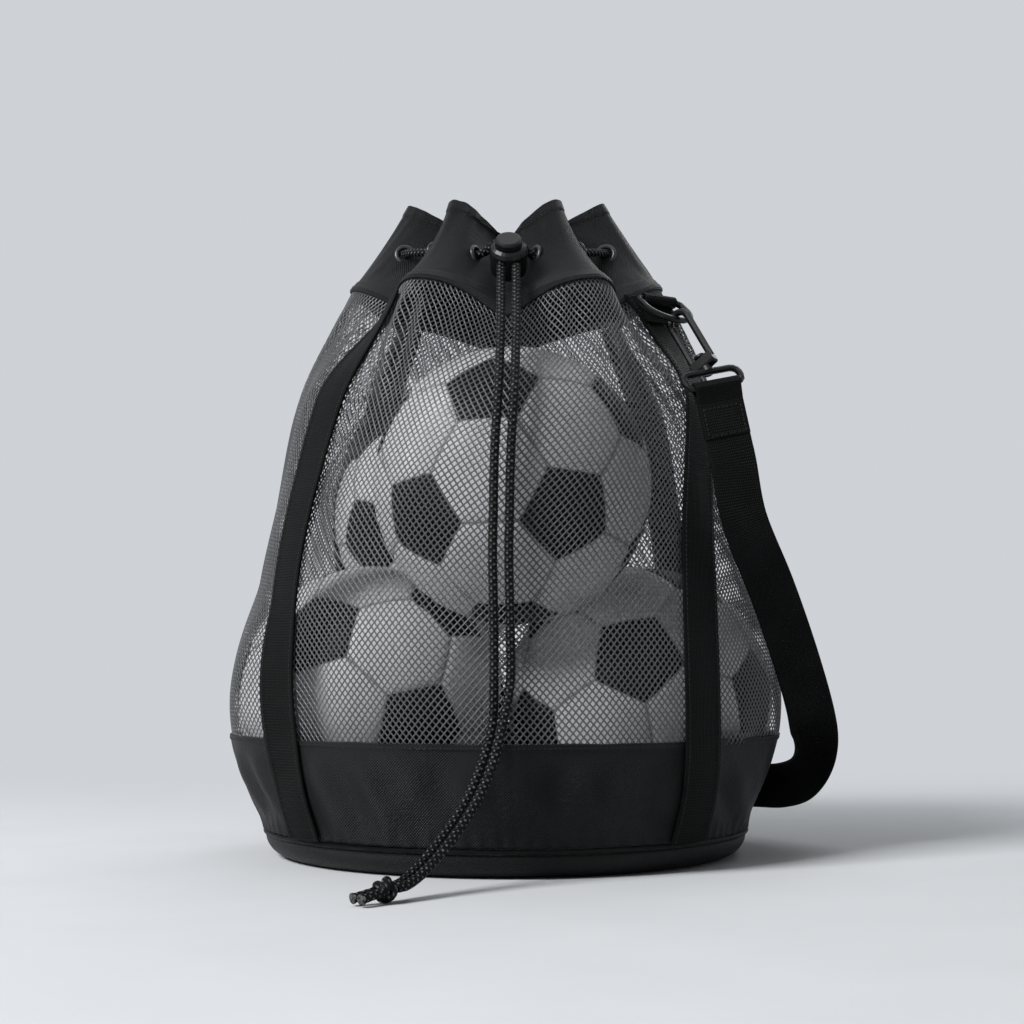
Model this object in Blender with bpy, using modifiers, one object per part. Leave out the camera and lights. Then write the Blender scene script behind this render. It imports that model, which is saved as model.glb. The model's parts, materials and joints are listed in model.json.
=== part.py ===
"""Drawstring mesh ball bag with a cord lock, a carry strap on a swivel snap hook and four balls inside."""
import math

import bmesh
import bpy
import numpy as np
from mathutils import Matrix, Vector

# Clearances
FIT = 0.0003
LOOSE = 0.0004
SEW_GAP = 0.0009
SEAM_GAP = 0.0014
STRAP_LIFT = 0.0019

# Balls, stacked two and two
BALL_RADIUS = 0.108
LOWER_PAIR_Y = -0.014
LOWER_PAIR_YAW = math.radians(3.2)
UPPER_FRONT_X = 0.005
UPPER_FRONT_Y = -0.096
UPPER_BACK_SHIFT = -0.050
FRONT_SETTLE = 0.0024
BACK_SETTLE = 0.0014

# Cloth
CLOTH = 0.002
BALL_TO_CLOTH = 0.0022
BULGE_BLEND = 0.030

# Base and band
BASE_THICKNESS = 0.0025
BASE_FLAT_RADIUS = 0.172
BASE_RIM_RADIUS = 0.193
BASE_RIM_Z = 0.0175
PAD_RADIUS = 0.158
PAD_THICKNESS = 0.012
PIPING_RADIUS = 0.0022
BAND_TOP = 0.096
BAND_MID_RADIUS = 0.205
BAND_RADIUS = 0.208

# Net body, heights above the top of the upper ball
HIP_RADIUS = 0.203
WAIST_RADIUS = 0.187
SHOULDER_RADIUS = 0.168
NECK_RADIUS = 0.146
SEAM_RADIUS = 0.134
SHOULDER_DROP = 0.024
NECK_RISE = 0.025
SEAM_VALLEY_RISE = 0.030
SEAM_RIDGE_RISE = 0.050
SIDE_LIFT = 0.016
FOLD_BELOW = 0.045
FOLD_DEPTH = 0.036
NET_FIRST_ROW = 1
NET_OPEN_ROWS = 8
NET_STRAND = 0.185

# Gathered collar
RIDGES = tuple(math.radians(a) for a in (-150, -90, -31, 31, 84, 148))
VALLEYS = tuple(math.radians(a) for a in (-180, -120, -52, 0, 53, 116, 180))
COLLAR_HEIGHT = 0.068
CORD_RISE = 0.074
CORD_LEVEL = 0.42
CORD_RIDGE_RADIUS = 0.108
CORD_VALLEY_RADIUS = 0.046
TOP_RIDGE_RADIUS = 0.080
TOP_VALLEY_RADIUS = 0.032
TOP_DIP = 0.029

# Drawcord and eyelets
CORD_RADIUS = 0.003
CORD_RING_RADIUS = 0.088
CORD_SPREAD = 0.0057
EYELET_RING = 0.0067
EYELET_WIRE = 0.0017

# Cord lock
LOCK_TILT = math.radians(47)
LOCK_CENTRE = (0.0023, -0.1121)
LOCK_DROP = 0.0060
BARREL_RADIUS = 0.0145
BARREL_HEIGHT = 0.027
BORE_HEIGHT = 0.017
LOCK_FLOOR = 0.002
BUTTON_RADIUS = 0.0102
BUTTON_RISE = 0.006
PRESS_TRAVEL = 0.005
SPRING_RADIUS = 0.0060
SPRING_WIRE = 0.0005
SPRING_TURNS = 3.5
TAIL_STRAIGHT = 0.088
KNOT_RADIUS = 0.0085

# Webbing, azimuth at the base, at mid height and at the collar
WEB_HALF = 0.019
WEB_THICKNESS = 0.0018
STRAPS = {
    "strap_front_left": (-49, -55, -45),
    "strap_front_right": (43, 47, 67),
    "strap_back_right": (131, 132, 133),
    "strap_back_left": (-138, -138, -138),
}

# Ring, swivel hook and carry strap
RING_WIRE = 0.0026
RING_HALF = 0.0220
RING_HEIGHT = 0.030
RING_LIFT = math.radians(24)
KEEPER_HALF = 0.0165
HOOK_TURN = math.radians(32.68)
HOOK_LEAN = 0.35825
HOOK_FACE = (0.545, 0.839, 0.0)
HOOK_ROD = 0.0029
HOOK_HALF = 0.0086
HOOK_SHANK = 0.048
HOOK_NOSE = 0.005
BLOCK_HALF = (0.0105, 0.0045, 0.0050)
BLOCK_EDGE = 0.0012
GATE_STEP = 0.0012
GATE_SHARE = 0.86
POST_RADIUS = 0.0030
POST_HEAD = (0.0048, 0.0021)
EYE_NECK = (0.0050, 0.0035)
EYE_CORNER = 0.006
EYE_SIDE = (1.0, 0.36, 0.30)
EYE_ROD = 0.0027
EYE_HALF = 0.0235
EYE_RISE = 0.0075
LOOP_LENGTH = 0.040
LOOP_HANG = (0.27, 0.05, -0.96)
ANCHOR_HEIGHT = 0.046


def smoothstep(x):
    x = np.clip(x, 0.0, 1.0)
    return x * x * (3.0 - 2.0 * x)


def smooth_through(knots, values, x):
    knots = np.asarray(knots, float)
    values = np.asarray(values, float)
    step = np.diff(knots)
    slope = np.diff(values) / step
    tangent = np.zeros_like(values)
    tangent[1:-1] = 0.5 * (slope[1:] + slope[:-1])
    tangent[0] = slope[0]
    tangent[-1] = slope[-1]
    x = np.clip(x, knots[0], knots[-1])
    i = np.clip(np.searchsorted(knots, x, side="right") - 1, 0, len(step) - 1)
    t = (x - knots[i]) / step[i]
    a = (1 + 2 * t) * (1 - t) ** 2 * values[i] + t * (1 - t) ** 2 * step[i] * tangent[i]
    b = t * t * (3 - 2 * t) * values[i + 1] + t * t * (t - 1) * step[i] * tangent[i + 1]
    return a + b


def smooth_max(a, b, blend):
    near = np.maximum(blend - np.abs(a - b), 0.0)
    return np.maximum(a, b) + near * near / (4.0 * blend)


# Ball centres: the lower pair lies on the pad, each upper ball rests on the lower pair
REACH = 2 * BALL_RADIUS + LOOSE
LOWER_Z = BASE_THICKNESS + FIT + PAD_THICKNESS + FIT + BALL_RADIUS


def resting_height(x, y, settle):
    heights = []
    for ball in LOWER:
        rise = (REACH - settle) ** 2 - (x - ball[0]) ** 2 - (y - ball[1]) ** 2
        if rise > 0:
            heights.append(ball[2] + math.sqrt(rise))
    return max(heights)


pair_x = 0.5 * REACH * math.cos(LOWER_PAIR_YAW)
pair_y = 0.5 * REACH * math.sin(LOWER_PAIR_YAW)
LOWER_LEFT = (-pair_x, LOWER_PAIR_Y - pair_y, LOWER_Z)
LOWER_RIGHT = (pair_x, LOWER_PAIR_Y + pair_y, LOWER_Z)
LOWER = (LOWER_LEFT, LOWER_RIGHT)
UPPER_FRONT = (UPPER_FRONT_X, UPPER_FRONT_Y, resting_height(UPPER_FRONT_X, UPPER_FRONT_Y, FRONT_SETTLE))
back_x = UPPER_FRONT_X + UPPER_BACK_SHIFT
back_y = UPPER_FRONT_Y + math.sqrt(REACH ** 2 - UPPER_BACK_SHIFT ** 2)
UPPER_BACK = (back_x, back_y, resting_height(back_x, back_y, BACK_SETTLE))
BALLS = {"ball_lower_left": LOWER_LEFT, "ball_lower_right": LOWER_RIGHT,
         "ball_upper_front": UPPER_FRONT, "ball_upper_back": UPPER_BACK}
STACK_TOP = UPPER_FRONT[2] + BALL_RADIUS
CORD_Z = STACK_TOP + CORD_RISE
BAND_FOOT = BASE_RIM_Z + 2 * (PIPING_RADIUS + FIT)


# Bag surface: azimuth 0 faces the front, -Y
def fold_wave(phi):
    phi = (np.asarray(phi, float) + math.pi) % (2 * math.pi) - math.pi
    marks = [VALLEYS[0]]
    phases = [-1.0]
    for ridge, valley in zip(RIDGES, VALLEYS[1:]):
        marks += [ridge, valley]
        phases += [phases[-1] + 1.0, phases[-1] + 2.0]
    turn = np.interp(phi, marks, phases)
    return np.sqrt(np.cos(0.5 * math.pi * turn) ** 2 + 0.012) / math.sqrt(1.012)


def cloth_profile(z):
    knots = (BAND_FOOT, 0.5 * (BAND_FOOT + BAND_TOP), BAND_TOP, 0.5 * (BAND_TOP + UPPER_FRONT[2]),
             UPPER_FRONT[2], STACK_TOP - SHOULDER_DROP, STACK_TOP + NECK_RISE, STACK_TOP + SEAM_RIDGE_RISE,
             STACK_TOP + SEAM_RIDGE_RISE + SIDE_LIFT + 0.01)
    radii = (BASE_RIM_RADIUS + 0.002, BAND_MID_RADIUS, BAND_RADIUS, HIP_RADIUS, WAIST_RADIUS,
             SHOULDER_RADIUS, NECK_RADIUS, SEAM_RADIUS, SEAM_RADIUS - 0.013)
    return smooth_through(knots, radii, z)


def ball_hull(phi, z):
    phi, z = np.broadcast_arrays(np.asarray(phi, float), np.asarray(z, float))
    turn = np.linspace(-math.pi, math.pi, 181)[:-1]
    reach = BALL_RADIUS + BALL_TO_CLOTH + CLOTH
    support = np.full(z.shape + (len(turn),), -1.0)
    for centre in BALLS.values():
        height = z - centre[2]
        inside = np.abs(height) < reach
        slice_radius = np.sqrt(np.maximum(reach ** 2 - height ** 2, 0.0))
        along = centre[0] * np.sin(turn) - centre[1] * np.cos(turn)
        value = along + slice_radius[..., None]
        support = np.where(inside[..., None], np.maximum(support, value), support)
    facing = np.cos(phi[..., None] - turn)
    distance = np.where(facing > 0.15, np.maximum(support, 0.0) / np.maximum(facing, 0.15), 9.0)
    return distance.min(axis=-1)


def bag_radius(phi, z):
    start = STACK_TOP - FOLD_BELOW
    depth = FOLD_DEPTH * smoothstep((np.asarray(z, float) - start) / (STACK_TOP + SEAM_RIDGE_RISE - start))
    cloth = cloth_profile(z) - depth * (1.0 - fold_wave(phi))
    return smooth_max(cloth, ball_hull(phi, z), BULGE_BLEND)


def seam_height(phi):
    rise = SEAM_VALLEY_RISE + (SEAM_RIDGE_RISE - SEAM_VALLEY_RISE) * fold_wave(phi)
    return STACK_TOP + rise + SIDE_LIFT * np.sin(phi) ** 2


def place(phi, radius, z):
    phi, radius, z = np.broadcast_arrays(phi, radius, z)
    return np.stack((radius * np.sin(phi), -radius * np.cos(phi), z), axis=-1)


def three_level(t, low, mid, high):
    c = CORD_LEVEL
    return (low * (t - c) * (t - 1) / c + mid * t * (t - 1) / (c * (c - 1)) + high * t * (t - c) / (1 - c))


def collar_point(phi, t):
    wave = fold_wave(phi)
    lift = SIDE_LIFT * np.sin(phi) ** 2
    seam_z = seam_height(phi)
    top_z = STACK_TOP + SEAM_RIDGE_RISE + COLLAR_HEIGHT - TOP_DIP * (1.0 - wave) + lift
    z = three_level(t, seam_z, CORD_Z + lift, top_z)
    mid = CORD_VALLEY_RADIUS + (CORD_RIDGE_RADIUS - CORD_VALLEY_RADIUS) * wave
    top = TOP_VALLEY_RADIUS + (TOP_RIDGE_RADIUS - TOP_VALLEY_RADIUS) * wave
    radius = three_level(t, bag_radius(phi, seam_z), mid, top)
    return place(phi, radius, z)


def strap_azimuth(name, z):
    low, mid, high = (math.radians(a) for a in STRAPS[name])
    knots = (BAND_FOOT, 0.5 * (BAND_TOP + STACK_TOP), STACK_TOP + SEAM_VALLEY_RISE)
    return smooth_through(knots, (low, mid, high), z)


# Blender helpers
for old in list(bpy.data.objects):
    bpy.data.objects.remove(old, do_unlink=True)
parts = bpy.data.collections.new("mesh_ball_bag")
cutters = bpy.data.collections.new("cutters")
bpy.context.scene.collection.children.link(parts)
bpy.context.scene.collection.children.link(cutters)


def finish(obj, colour, roughness, metallic=0.0):
    paint = bpy.data.materials.new(obj.name)
    paint.use_nodes = True
    shader = paint.node_tree.nodes["Principled BSDF"]
    shader.inputs["Base Color"].default_value = (*colour, 1.0)
    shader.inputs["Roughness"].default_value = roughness
    shader.inputs["Metallic"].default_value = metallic
    obj.data.materials.clear()
    obj.data.materials.append(paint)
    if obj.type == "MESH":
        for face in obj.data.polygons:
            face.use_smooth = True
    return obj


def add_mesh(name, verts, faces, home=None):
    mesh = bpy.data.meshes.new(name)
    mesh.from_pydata([tuple(map(float, v)) for v in verts], [], faces)
    mesh.update()
    obj = bpy.data.objects.new(name, mesh)
    (home or parts).objects.link(obj)
    return obj


def add_bm(name, bm, home=None):
    bmesh.ops.recalc_face_normals(bm, faces=bm.faces)
    mesh = bpy.data.meshes.new(name)
    bm.to_mesh(mesh)
    bm.free()
    obj = bpy.data.objects.new(name, mesh)
    (home or parts).objects.link(obj)
    return obj


def shell(name, points, thickness, cyclic=False, offset=-1.0):
    rows, cols = points.shape[:2]
    faces = []
    for r in range(rows - 1):
        for c in range(cols if cyclic else cols - 1):
            d = (c + 1) % cols
            faces.append((r * cols + c, r * cols + d, (r + 1) * cols + d, (r + 1) * cols + c))
    obj = add_mesh(name, points.reshape(-1, 3), faces)
    solid = obj.modifiers.new("thickness", "SOLIDIFY")
    solid.thickness = thickness
    solid.offset = offset
    return obj


def netting(name, points, corners, thickness):
    """Shell with openings between its foot and its gathers, one in every block of two rows by two columns."""
    rows, cols = points.shape[:2]
    verts = np.concatenate((points.reshape(-1, 3), corners.reshape(-1, 3)))
    faces = []
    for block_row in range(corners.shape[0]):
        for block_col in range(corners.shape[1]):
            a = (NET_FIRST_ROW + 2 * block_row) * cols + 2 * block_col
            rim = (a, a + 1, a + 2, a + cols + 2, a + 2 * cols + 2, a + 2 * cols + 1, a + 2 * cols, a + cols)
            hole = rows * cols + 4 * (block_row * corners.shape[1] + block_col)
            for side in range(4):
                following = (side + 1) % 4
                middle = rim[2 * side + 1]
                faces.append((rim[2 * side], middle, hole + side))
                faces.append((middle, hole + following, hole + side))
                faces.append((middle, rim[2 * following], hole + following))
    open_rows = range(NET_FIRST_ROW, NET_FIRST_ROW + NET_OPEN_ROWS)
    for r in (row for row in range(rows - 1) if row not in open_rows):
        for c in range(cols - 1):
            faces.append((r * cols + c, r * cols + c + 1, (r + 1) * cols + c + 1, (r + 1) * cols + c))
    obj = add_mesh(name, verts, faces)
    solid = obj.modifiers.new("thickness", "SOLIDIFY")
    solid.thickness = thickness
    solid.offset = -1.0
    return obj


def turned(name, profile, steps, home=None):
    verts = [(x, 0.0, z) for x, z in profile]
    mesh = bpy.data.meshes.new(name)
    mesh.from_pydata(verts, [(i, i + 1) for i in range(len(verts) - 1)], [])
    obj = bpy.data.objects.new(name, mesh)
    (home or parts).objects.link(obj)
    screw = obj.modifiers.new("turn", "SCREW")
    screw.steps = steps
    screw.render_steps = steps
    screw.use_merge_vertices = True
    screw.merge_threshold = 0.00001
    return obj


def tube(name, points, radius, resolution=2, home=None):
    curve = bpy.data.curves.new(name, "CURVE")
    curve.dimensions = "3D"
    curve.bevel_depth = radius
    curve.bevel_resolution = resolution
    curve.use_fill_caps = True
    spline = curve.splines.new("POLY")
    spline.points.add(len(points) - 1)
    for target, p in zip(spline.points, points):
        target.co = (*map(float, p), 1.0)
    obj = bpy.data.objects.new(name, curve)
    (home or parts).objects.link(obj)
    return obj


def ring_tube(name, points, radius, resolution=2, home=None):
    obj = tube(name, points, radius, resolution, home)
    obj.data.splines[0].use_cyclic_u = True
    return obj


def as_mesh(obj):
    graph = bpy.context.evaluated_depsgraph_get()
    mesh = bpy.data.meshes.new_from_object(obj.evaluated_get(graph))
    home = obj.users_collection[0]
    name = obj.name
    matrix = obj.matrix_world.copy()
    bpy.data.objects.remove(obj, do_unlink=True)
    made = bpy.data.objects.new(name, mesh)
    made.matrix_world = matrix
    home.objects.link(made)
    return made


def boolean(obj, other, operation):
    other.hide_render = True
    other.display_type = "WIRE"
    modifier = obj.modifiers.new(operation.lower(), "BOOLEAN")
    modifier.operation = operation
    modifier.solver = "EXACT"
    modifier.object = other
    return modifier


def cylinder(name, radius, low, high, segments, home=None, matrix=None):
    bm = bmesh.new()
    bmesh.ops.create_cone(bm, cap_ends=True, segments=segments, radius1=radius, radius2=radius,
                          depth=high - low, matrix=Matrix.Translation((0, 0, 0.5 * (low + high))))
    obj = add_bm(name, bm, home)
    if matrix is not None:
        obj.matrix_world = matrix
    return obj


def box(name, half, centre, home=None, matrix=None):
    bm = bmesh.new()
    size = Matrix.Diagonal((2 * half[0], 2 * half[1], 2 * half[2], 1.0))
    bmesh.ops.create_cube(bm, size=1.0, matrix=Matrix.Translation(centre) @ size)
    obj = add_bm(name, bm, home)
    if matrix is not None:
        obj.matrix_world = matrix
    return obj


def axes_matrix(origin, x_axis, y_axis, z_axis):
    m = Matrix.Identity(4)
    for column, axis in enumerate((x_axis, y_axis, z_axis, origin)):
        for row in range(3):
            m[row][column] = float(axis[row])
    return m


def unit(v):
    v = np.asarray(v, float)
    return v / np.linalg.norm(v)


BLACK = (0.012, 0.012, 0.013)
WEB = (0.008, 0.008, 0.009)
NET = (0.10, 0.105, 0.11)
PLASTIC = (0.010, 0.010, 0.011)
CORD = (0.020, 0.020, 0.021)
WHITE = (0.75, 0.76, 0.78)

# Base panel, foam pad and piping
T = BASE_THICKNESS
bend = BASE_RIM_RADIUS - BASE_FLAT_RADIUS
outer_bend = [(BASE_FLAT_RADIUS + bend * math.sin(a), BASE_RIM_Z * (1 - math.cos(a)))
              for a in np.linspace(math.pi / 2, 0, 5)]
inner_bend = [(BASE_FLAT_RADIUS + (bend - T) * math.sin(a), T + (BASE_RIM_Z - T) * (1 - math.cos(a)))
              for a in np.linspace(0, math.pi / 2, 5)]
base = turned("base_panel", [(0, T)] + inner_bend + outer_bend + [(0, 0)], 48)
finish(base, BLACK, 0.8)

pad = cylinder("base_pad", PAD_RADIUS, T + FIT, T + FIT + PAD_THICKNESS, 40)
finish(pad, (0.05, 0.05, 0.055), 0.9)

piping_z = BASE_RIM_Z + FIT + PIPING_RADIUS
turn = np.linspace(0, 2 * math.pi, 49)[:-1]
piping = ring_tube("base_piping", place(turn, BASE_RIM_RADIUS, piping_z), PIPING_RADIUS, 1)
finish(piping, BLACK, 0.7)

# Lower band
band_z = np.array([BAND_FOOT, 0.034, 0.052, 0.074, BAND_TOP])[:, None]
band = shell("lower_band", place(turn, bag_radius(turn, band_z), band_z), CLOTH, cyclic=True)
finish(band, BLACK, 0.75)

# Net panels between the webbing straps, with a coarse grid of openings below the gathers
def opening_corners(grid):
    """The four corners of each opening, a strand's share in from the corners of its block."""
    rows = np.arange(NET_FIRST_ROW, NET_FIRST_ROW + NET_OPEN_ROWS, 2)
    low = grid[rows]
    high = grid[rows + 2]
    block = np.stack((low[:, :-2:2], low[:, 2::2], high[:, 2::2], high[:, :-2:2]), axis=-1)
    opposite = np.roll(block, 2, axis=-1)
    beside = np.roll(block, 1, axis=-1) + np.roll(block, -1, axis=-1)
    keep = 1.0 - NET_STRAND
    return keep * keep * block + keep * NET_STRAND * beside + NET_STRAND * NET_STRAND * opposite


names = list(STRAPS)
rise = np.array([0, 0.1, 0.2, 0.3, 0.38, 0.46, 0.53, 0.6, 0.67, 0.74, 0.81, 0.88, 0.94, 0.975, 1.0])[:, None]
for k, panel in enumerate(("net_front", "net_right", "net_back", "net_left")):
    start, stop = names[k], names[(k + 1) % 4]
    share = np.linspace(0, 1, 15)[None, :]
    phi = np.zeros((len(rise), 15))
    z = np.zeros_like(phi)
    for _ in range(2):
        low = strap_azimuth(start, z)
        high = strap_azimuth(stop, z)
        high = np.where(high < low, high + 2 * math.pi, high)
        edge = SEW_GAP / SHOULDER_RADIUS
        phi = low + edge + (high - low - 2 * edge) * share
        z = BAND_TOP + SEW_GAP + rise * (seam_height(phi) - SEAM_GAP - BAND_TOP - SEW_GAP)
    hole_phi = opening_corners(phi)
    hole_z = opening_corners(z)
    corners = place(hole_phi, bag_radius(hole_phi, hole_z), hole_z)
    finish(netting(panel, place(phi, bag_radius(phi, z), z), corners, CLOTH), NET, 0.6)

# Vertical webbing straps
for name in names:
    top_phi = strap_azimuth(name, STACK_TOP + SEAM_RIDGE_RISE) + np.array([-1, 0, 1]) * WEB_HALF / NECK_RADIUS
    top = seam_height(top_phi).min() - 0.002
    z = np.concatenate((np.array([BAND_FOOT, 0.034, 0.052, 0.074, BAND_TOP]),
                        BAND_TOP + rise[1:, 0] * (top - BAND_TOP)))[:, None]
    mid = strap_azimuth(name, z)
    across = np.linspace(-WEB_HALF, WEB_HALF, 3)[None, :]
    phi = mid + across / bag_radius(mid, z)
    points = place(phi, bag_radius(phi, z) + STRAP_LIFT, z)
    finish(shell(name, points, WEB_THICKNESS, offset=1.0), WEB, 0.7)

# Eyelet places: where the cord circle crosses the collar folds
ring_wave = (CORD_RING_RADIUS - CORD_VALLEY_RADIUS) / (CORD_RIDGE_RADIUS - CORD_VALLEY_RADIUS)
fine = np.linspace(-math.pi, math.pi, 20001)
over = fold_wave(fine) - ring_wave
crossings = [0.5 * (fine[i] + fine[i + 1]) for i in range(20000) if over[i] * over[i + 1] < 0]
eyelet_frames = []
for phi in crossings:
    centre = collar_point(phi, CORD_LEVEL)
    side = collar_point(phi + 0.04, CORD_LEVEL) - collar_point(phi - 0.04, CORD_LEVEL)
    up = collar_point(phi, CORD_LEVEL + 0.1) - collar_point(phi, CORD_LEVEL - 0.1)
    normal = unit(np.cross(side, up))
    along = unit((math.cos(phi), math.sin(phi), 0))
    along = along * (1 if np.dot(along, normal) > 0 else -1)
    axis = unit(normal + along)
    sideways = unit(np.cross((0, 0, 1), axis))
    centre = centre - normal * 0.5 * CLOTH
    eyelet_frames.append(axes_matrix(centre, sideways, np.cross(axis, sideways), axis))

hole_radius = EYELET_RING + EYELET_WIRE + LOOSE
bm = bmesh.new()
for frame in eyelet_frames:
    bmesh.ops.create_cone(bm, cap_ends=True, segments=16, radius1=hole_radius, radius2=hole_radius,
                          depth=0.016, matrix=frame)
holes = add_bm("eyelet_holes", bm, cutters)

eyelet_turn = np.linspace(0, 2 * math.pi, 13)[:-1]
loop = [(EYELET_RING * math.cos(a), EYELET_RING * math.sin(a), 0) for a in eyelet_turn]
for number, frame in enumerate(eyelet_frames, 1):
    eyelet = ring_tube(f"eyelet_{number}", loop, EYELET_WIRE, 1)
    eyelet.matrix_world = frame
    finish(eyelet, PLASTIC, 0.35, 1.0)

# Gathered collar in three panels sewn together in the folds
level = np.array([0, 0.14, 0.28, CORD_LEVEL, 0.6, 0.8, 1.0])[:, None]
for name, first, last in (("collar_front", 2, 4), ("collar_right", 4, 6), ("collar_left", 0, 2)):
    start, stop = VALLEYS[first], VALLEYS[last]
    edge = 0.5 * FIT / TOP_VALLEY_RADIUS
    phi = np.linspace(start + edge, stop - edge, 25)[None, :]
    points = collar_point(phi + 0 * level, level + 0 * phi)
    points[0, :, 2] += 0.5 * FIT
    panel = shell(name, points, CLOTH)
    boolean(panel, holes, "DIFFERENCE")
    finish(panel, BLACK, 0.75)

# Cord lock frame: local Z is the button's axis, local Y the way the cords run in
LOCK_Z = CORD_Z - LOCK_DROP
tilt_axis = np.array([0.0, -math.sin(LOCK_TILT), math.cos(LOCK_TILT)])
run_out = np.array([0.0, -math.cos(LOCK_TILT), -math.sin(LOCK_TILT)])
bore_mid = np.array([LOCK_CENTRE[0], LOCK_CENTRE[1], LOCK_Z])
lock_frame = axes_matrix(bore_mid - BORE_HEIGHT * tilt_axis, (1, 0, 0), -run_out, tilt_axis)

cavity = BUTTON_RADIUS + FIT
barrel = turned("lock_barrel", [
    (0, LOCK_FLOOR), (cavity, LOCK_FLOOR), (cavity, BARREL_HEIGHT), (BARREL_RADIUS - 0.003, BARREL_HEIGHT),
    (BARREL_RADIUS - 0.0008, BARREL_HEIGHT - 0.0018), (BARREL_RADIUS, BARREL_HEIGHT - 0.005),
    (BARREL_RADIUS, 0.008), (BARREL_RADIUS - 0.001, 0.003), (BARREL_RADIUS - 0.004, 0), (0, 0)], 28)
barrel.matrix_world = lock_frame
bore_radius = CORD_RADIUS + LOOSE
bores = bmesh.new()
for side in (-1, 1):
    spin = Matrix.Translation((side * CORD_SPREAD, 0, BORE_HEIGHT)) @ Matrix.Rotation(math.pi / 2, 4, "X")
    bmesh.ops.create_cone(bores, cap_ends=True, segments=14, radius1=bore_radius, radius2=bore_radius,
                          depth=0.05, matrix=spin)
bore_cutter = add_bm("lock_bores", bores, cutters)
bore_cutter.matrix_world = lock_frame
boolean(barrel, bore_cutter, "DIFFERENCE")
finish(barrel, PLASTIC, 0.45)

stem_foot = BORE_HEIGHT - bore_radius - 0.0022
button_top = BARREL_HEIGHT + BUTTON_RISE
button = turned("lock_button", [
    (0, button_top), (BUTTON_RADIUS - 0.002, button_top), (BUTTON_RADIUS - 0.0006, button_top - 0.0006),
    (BUTTON_RADIUS, button_top - 0.002), (BUTTON_RADIUS, stem_foot), (0, stem_foot)], 24)
button.matrix_world = lock_frame
slots = bmesh.new()
for side in (-1, 1):
    tall = bore_radius + 0.5 * PRESS_TRAVEL
    wide = Matrix.Diagonal((1.0, 1.0, tall / bore_radius, 1.0))
    spin = Matrix.Translation((side * CORD_SPREAD, 0, BORE_HEIGHT + 0.5 * PRESS_TRAVEL)) @ wide
    spin = spin @ Matrix.Rotation(math.pi / 2, 4, "X")
    bmesh.ops.create_cone(slots, cap_ends=True, segments=14, radius1=bore_radius * 1.05,
                          radius2=bore_radius * 1.05, depth=0.05, matrix=spin)
slot_cutter = add_bm("button_slots", slots, cutters)
slot_cutter.matrix_world = lock_frame
boolean(button, slot_cutter, "DIFFERENCE")
finish(button, PLASTIC, 0.35)

coil = []
spring_low = LOCK_FLOOR + SPRING_WIRE + FIT
spring_high = stem_foot - SPRING_WIRE - FIT
for i in range(int(SPRING_TURNS * 12) + 1):
    a = 2 * math.pi * i / 12
    rise_share = i / int(SPRING_TURNS * 12)
    coil.append((SPRING_RADIUS * math.cos(a), SPRING_RADIUS * math.sin(a),
                 spring_low + (spring_high - spring_low) * rise_share))
spring = tube("lock_spring", coil, SPRING_WIRE, 0)
spring.matrix_world = lock_frame
finish(spring, (0.6, 0.6, 0.62), 0.3, 1.0)

# Drawcord: once round the collar through the eyelets, both ends turning into the lock
front_left = max(phi for phi in crossings if phi < 0)
front_right = min(phi for phi in crossings if phi > 0)
TURN_IN = BARREL_RADIUS + 0.0015


def entry(side):
    return bore_mid + np.array([side * CORD_SPREAD, 0, 0]) - TURN_IN * run_out


def hermite(p, q, d, e, count):
    t = np.linspace(0, 1, count)[:, None]
    leaving = (1 + 2 * t) * (1 - t) ** 2 * p + t * (1 - t) ** 2 * d
    return leaving + t * t * (3 - 2 * t) * q + t * t * (t - 1) * e


def ring_point(phi):
    return place(phi, CORD_RING_RADIUS, CORD_Z + SIDE_LIFT * np.sin(phi) ** 2)


left_way = np.array([math.cos(front_left), math.sin(front_left), 0])
right_way = np.array([-math.cos(front_right), -math.sin(front_right), 0])
into_lock = 0.022 * run_out
left_mouth = entry(-1) - 0.004 * run_out
right_mouth = entry(1) - 0.004 * run_out
left_turn = hermite(ring_point(front_left), left_mouth, 0.026 * left_way, into_lock, 7)
right_turn = hermite(ring_point(front_right), right_mouth, 0.026 * right_way, into_lock, 7)
circle = np.linspace(front_right, front_left + 2 * math.pi, 33)[1:-1]
cord = np.concatenate(([entry(1)], right_turn[::-1], ring_point(circle), left_turn, [entry(-1)]))
finish(tube("draw_cord", cord, CORD_RADIUS), CORD, 0.8)

# Free cord tails: straight through the lock, over the bulge of the net and down to the floor
TAIL_ROUTE = (
    (0.0015, -0.2010, 0.3620), (0.0005, -0.2120, 0.3400), (-0.0010, -0.2170, 0.3150),
    (-0.0020, -0.2180, 0.2900), (-0.0025, -0.2180, 0.2600), (-0.0030, -0.2180, 0.2300),
    (-0.0025, -0.2180, 0.2000), (-0.0020, -0.2180, 0.1700), (-0.0020, -0.2190, 0.1400),
    (-0.0050, -0.2210, 0.1120), (-0.0120, -0.2280, 0.0840), (-0.0230, -0.2390, 0.0590),
    (-0.0380, -0.2560, 0.0370), (-0.0540, -0.2760, 0.0190), (-0.0650, -0.2910, 0.0110))
KNOT_PLACE = np.array([-0.0765, -0.3050, KNOT_RADIUS + 0.0006])
END_WAY = unit((-0.017, -0.015, -0.0042))
route = np.array(TAIL_ROUTE)
route = np.append(route, [KNOT_PLACE - unit(KNOT_PLACE - route[-1]) * (KNOT_RADIUS + LOOSE)], axis=0)
way = np.gradient(route, axis=0)
sides = np.stack((-way[:, 1], way[:, 0], 0 * way[:, 0]), axis=-1)
sides = np.where(np.linalg.norm(sides, axis=1, keepdims=True) > 0.004, sides, np.array([1.0, 0, 0]))
sides = sides / np.linalg.norm(sides, axis=1, keepdims=True)
sides = np.where(sides[:, :1] < 0, -sides, sides)
at_knot = CORD_RADIUS + FIT
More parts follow.
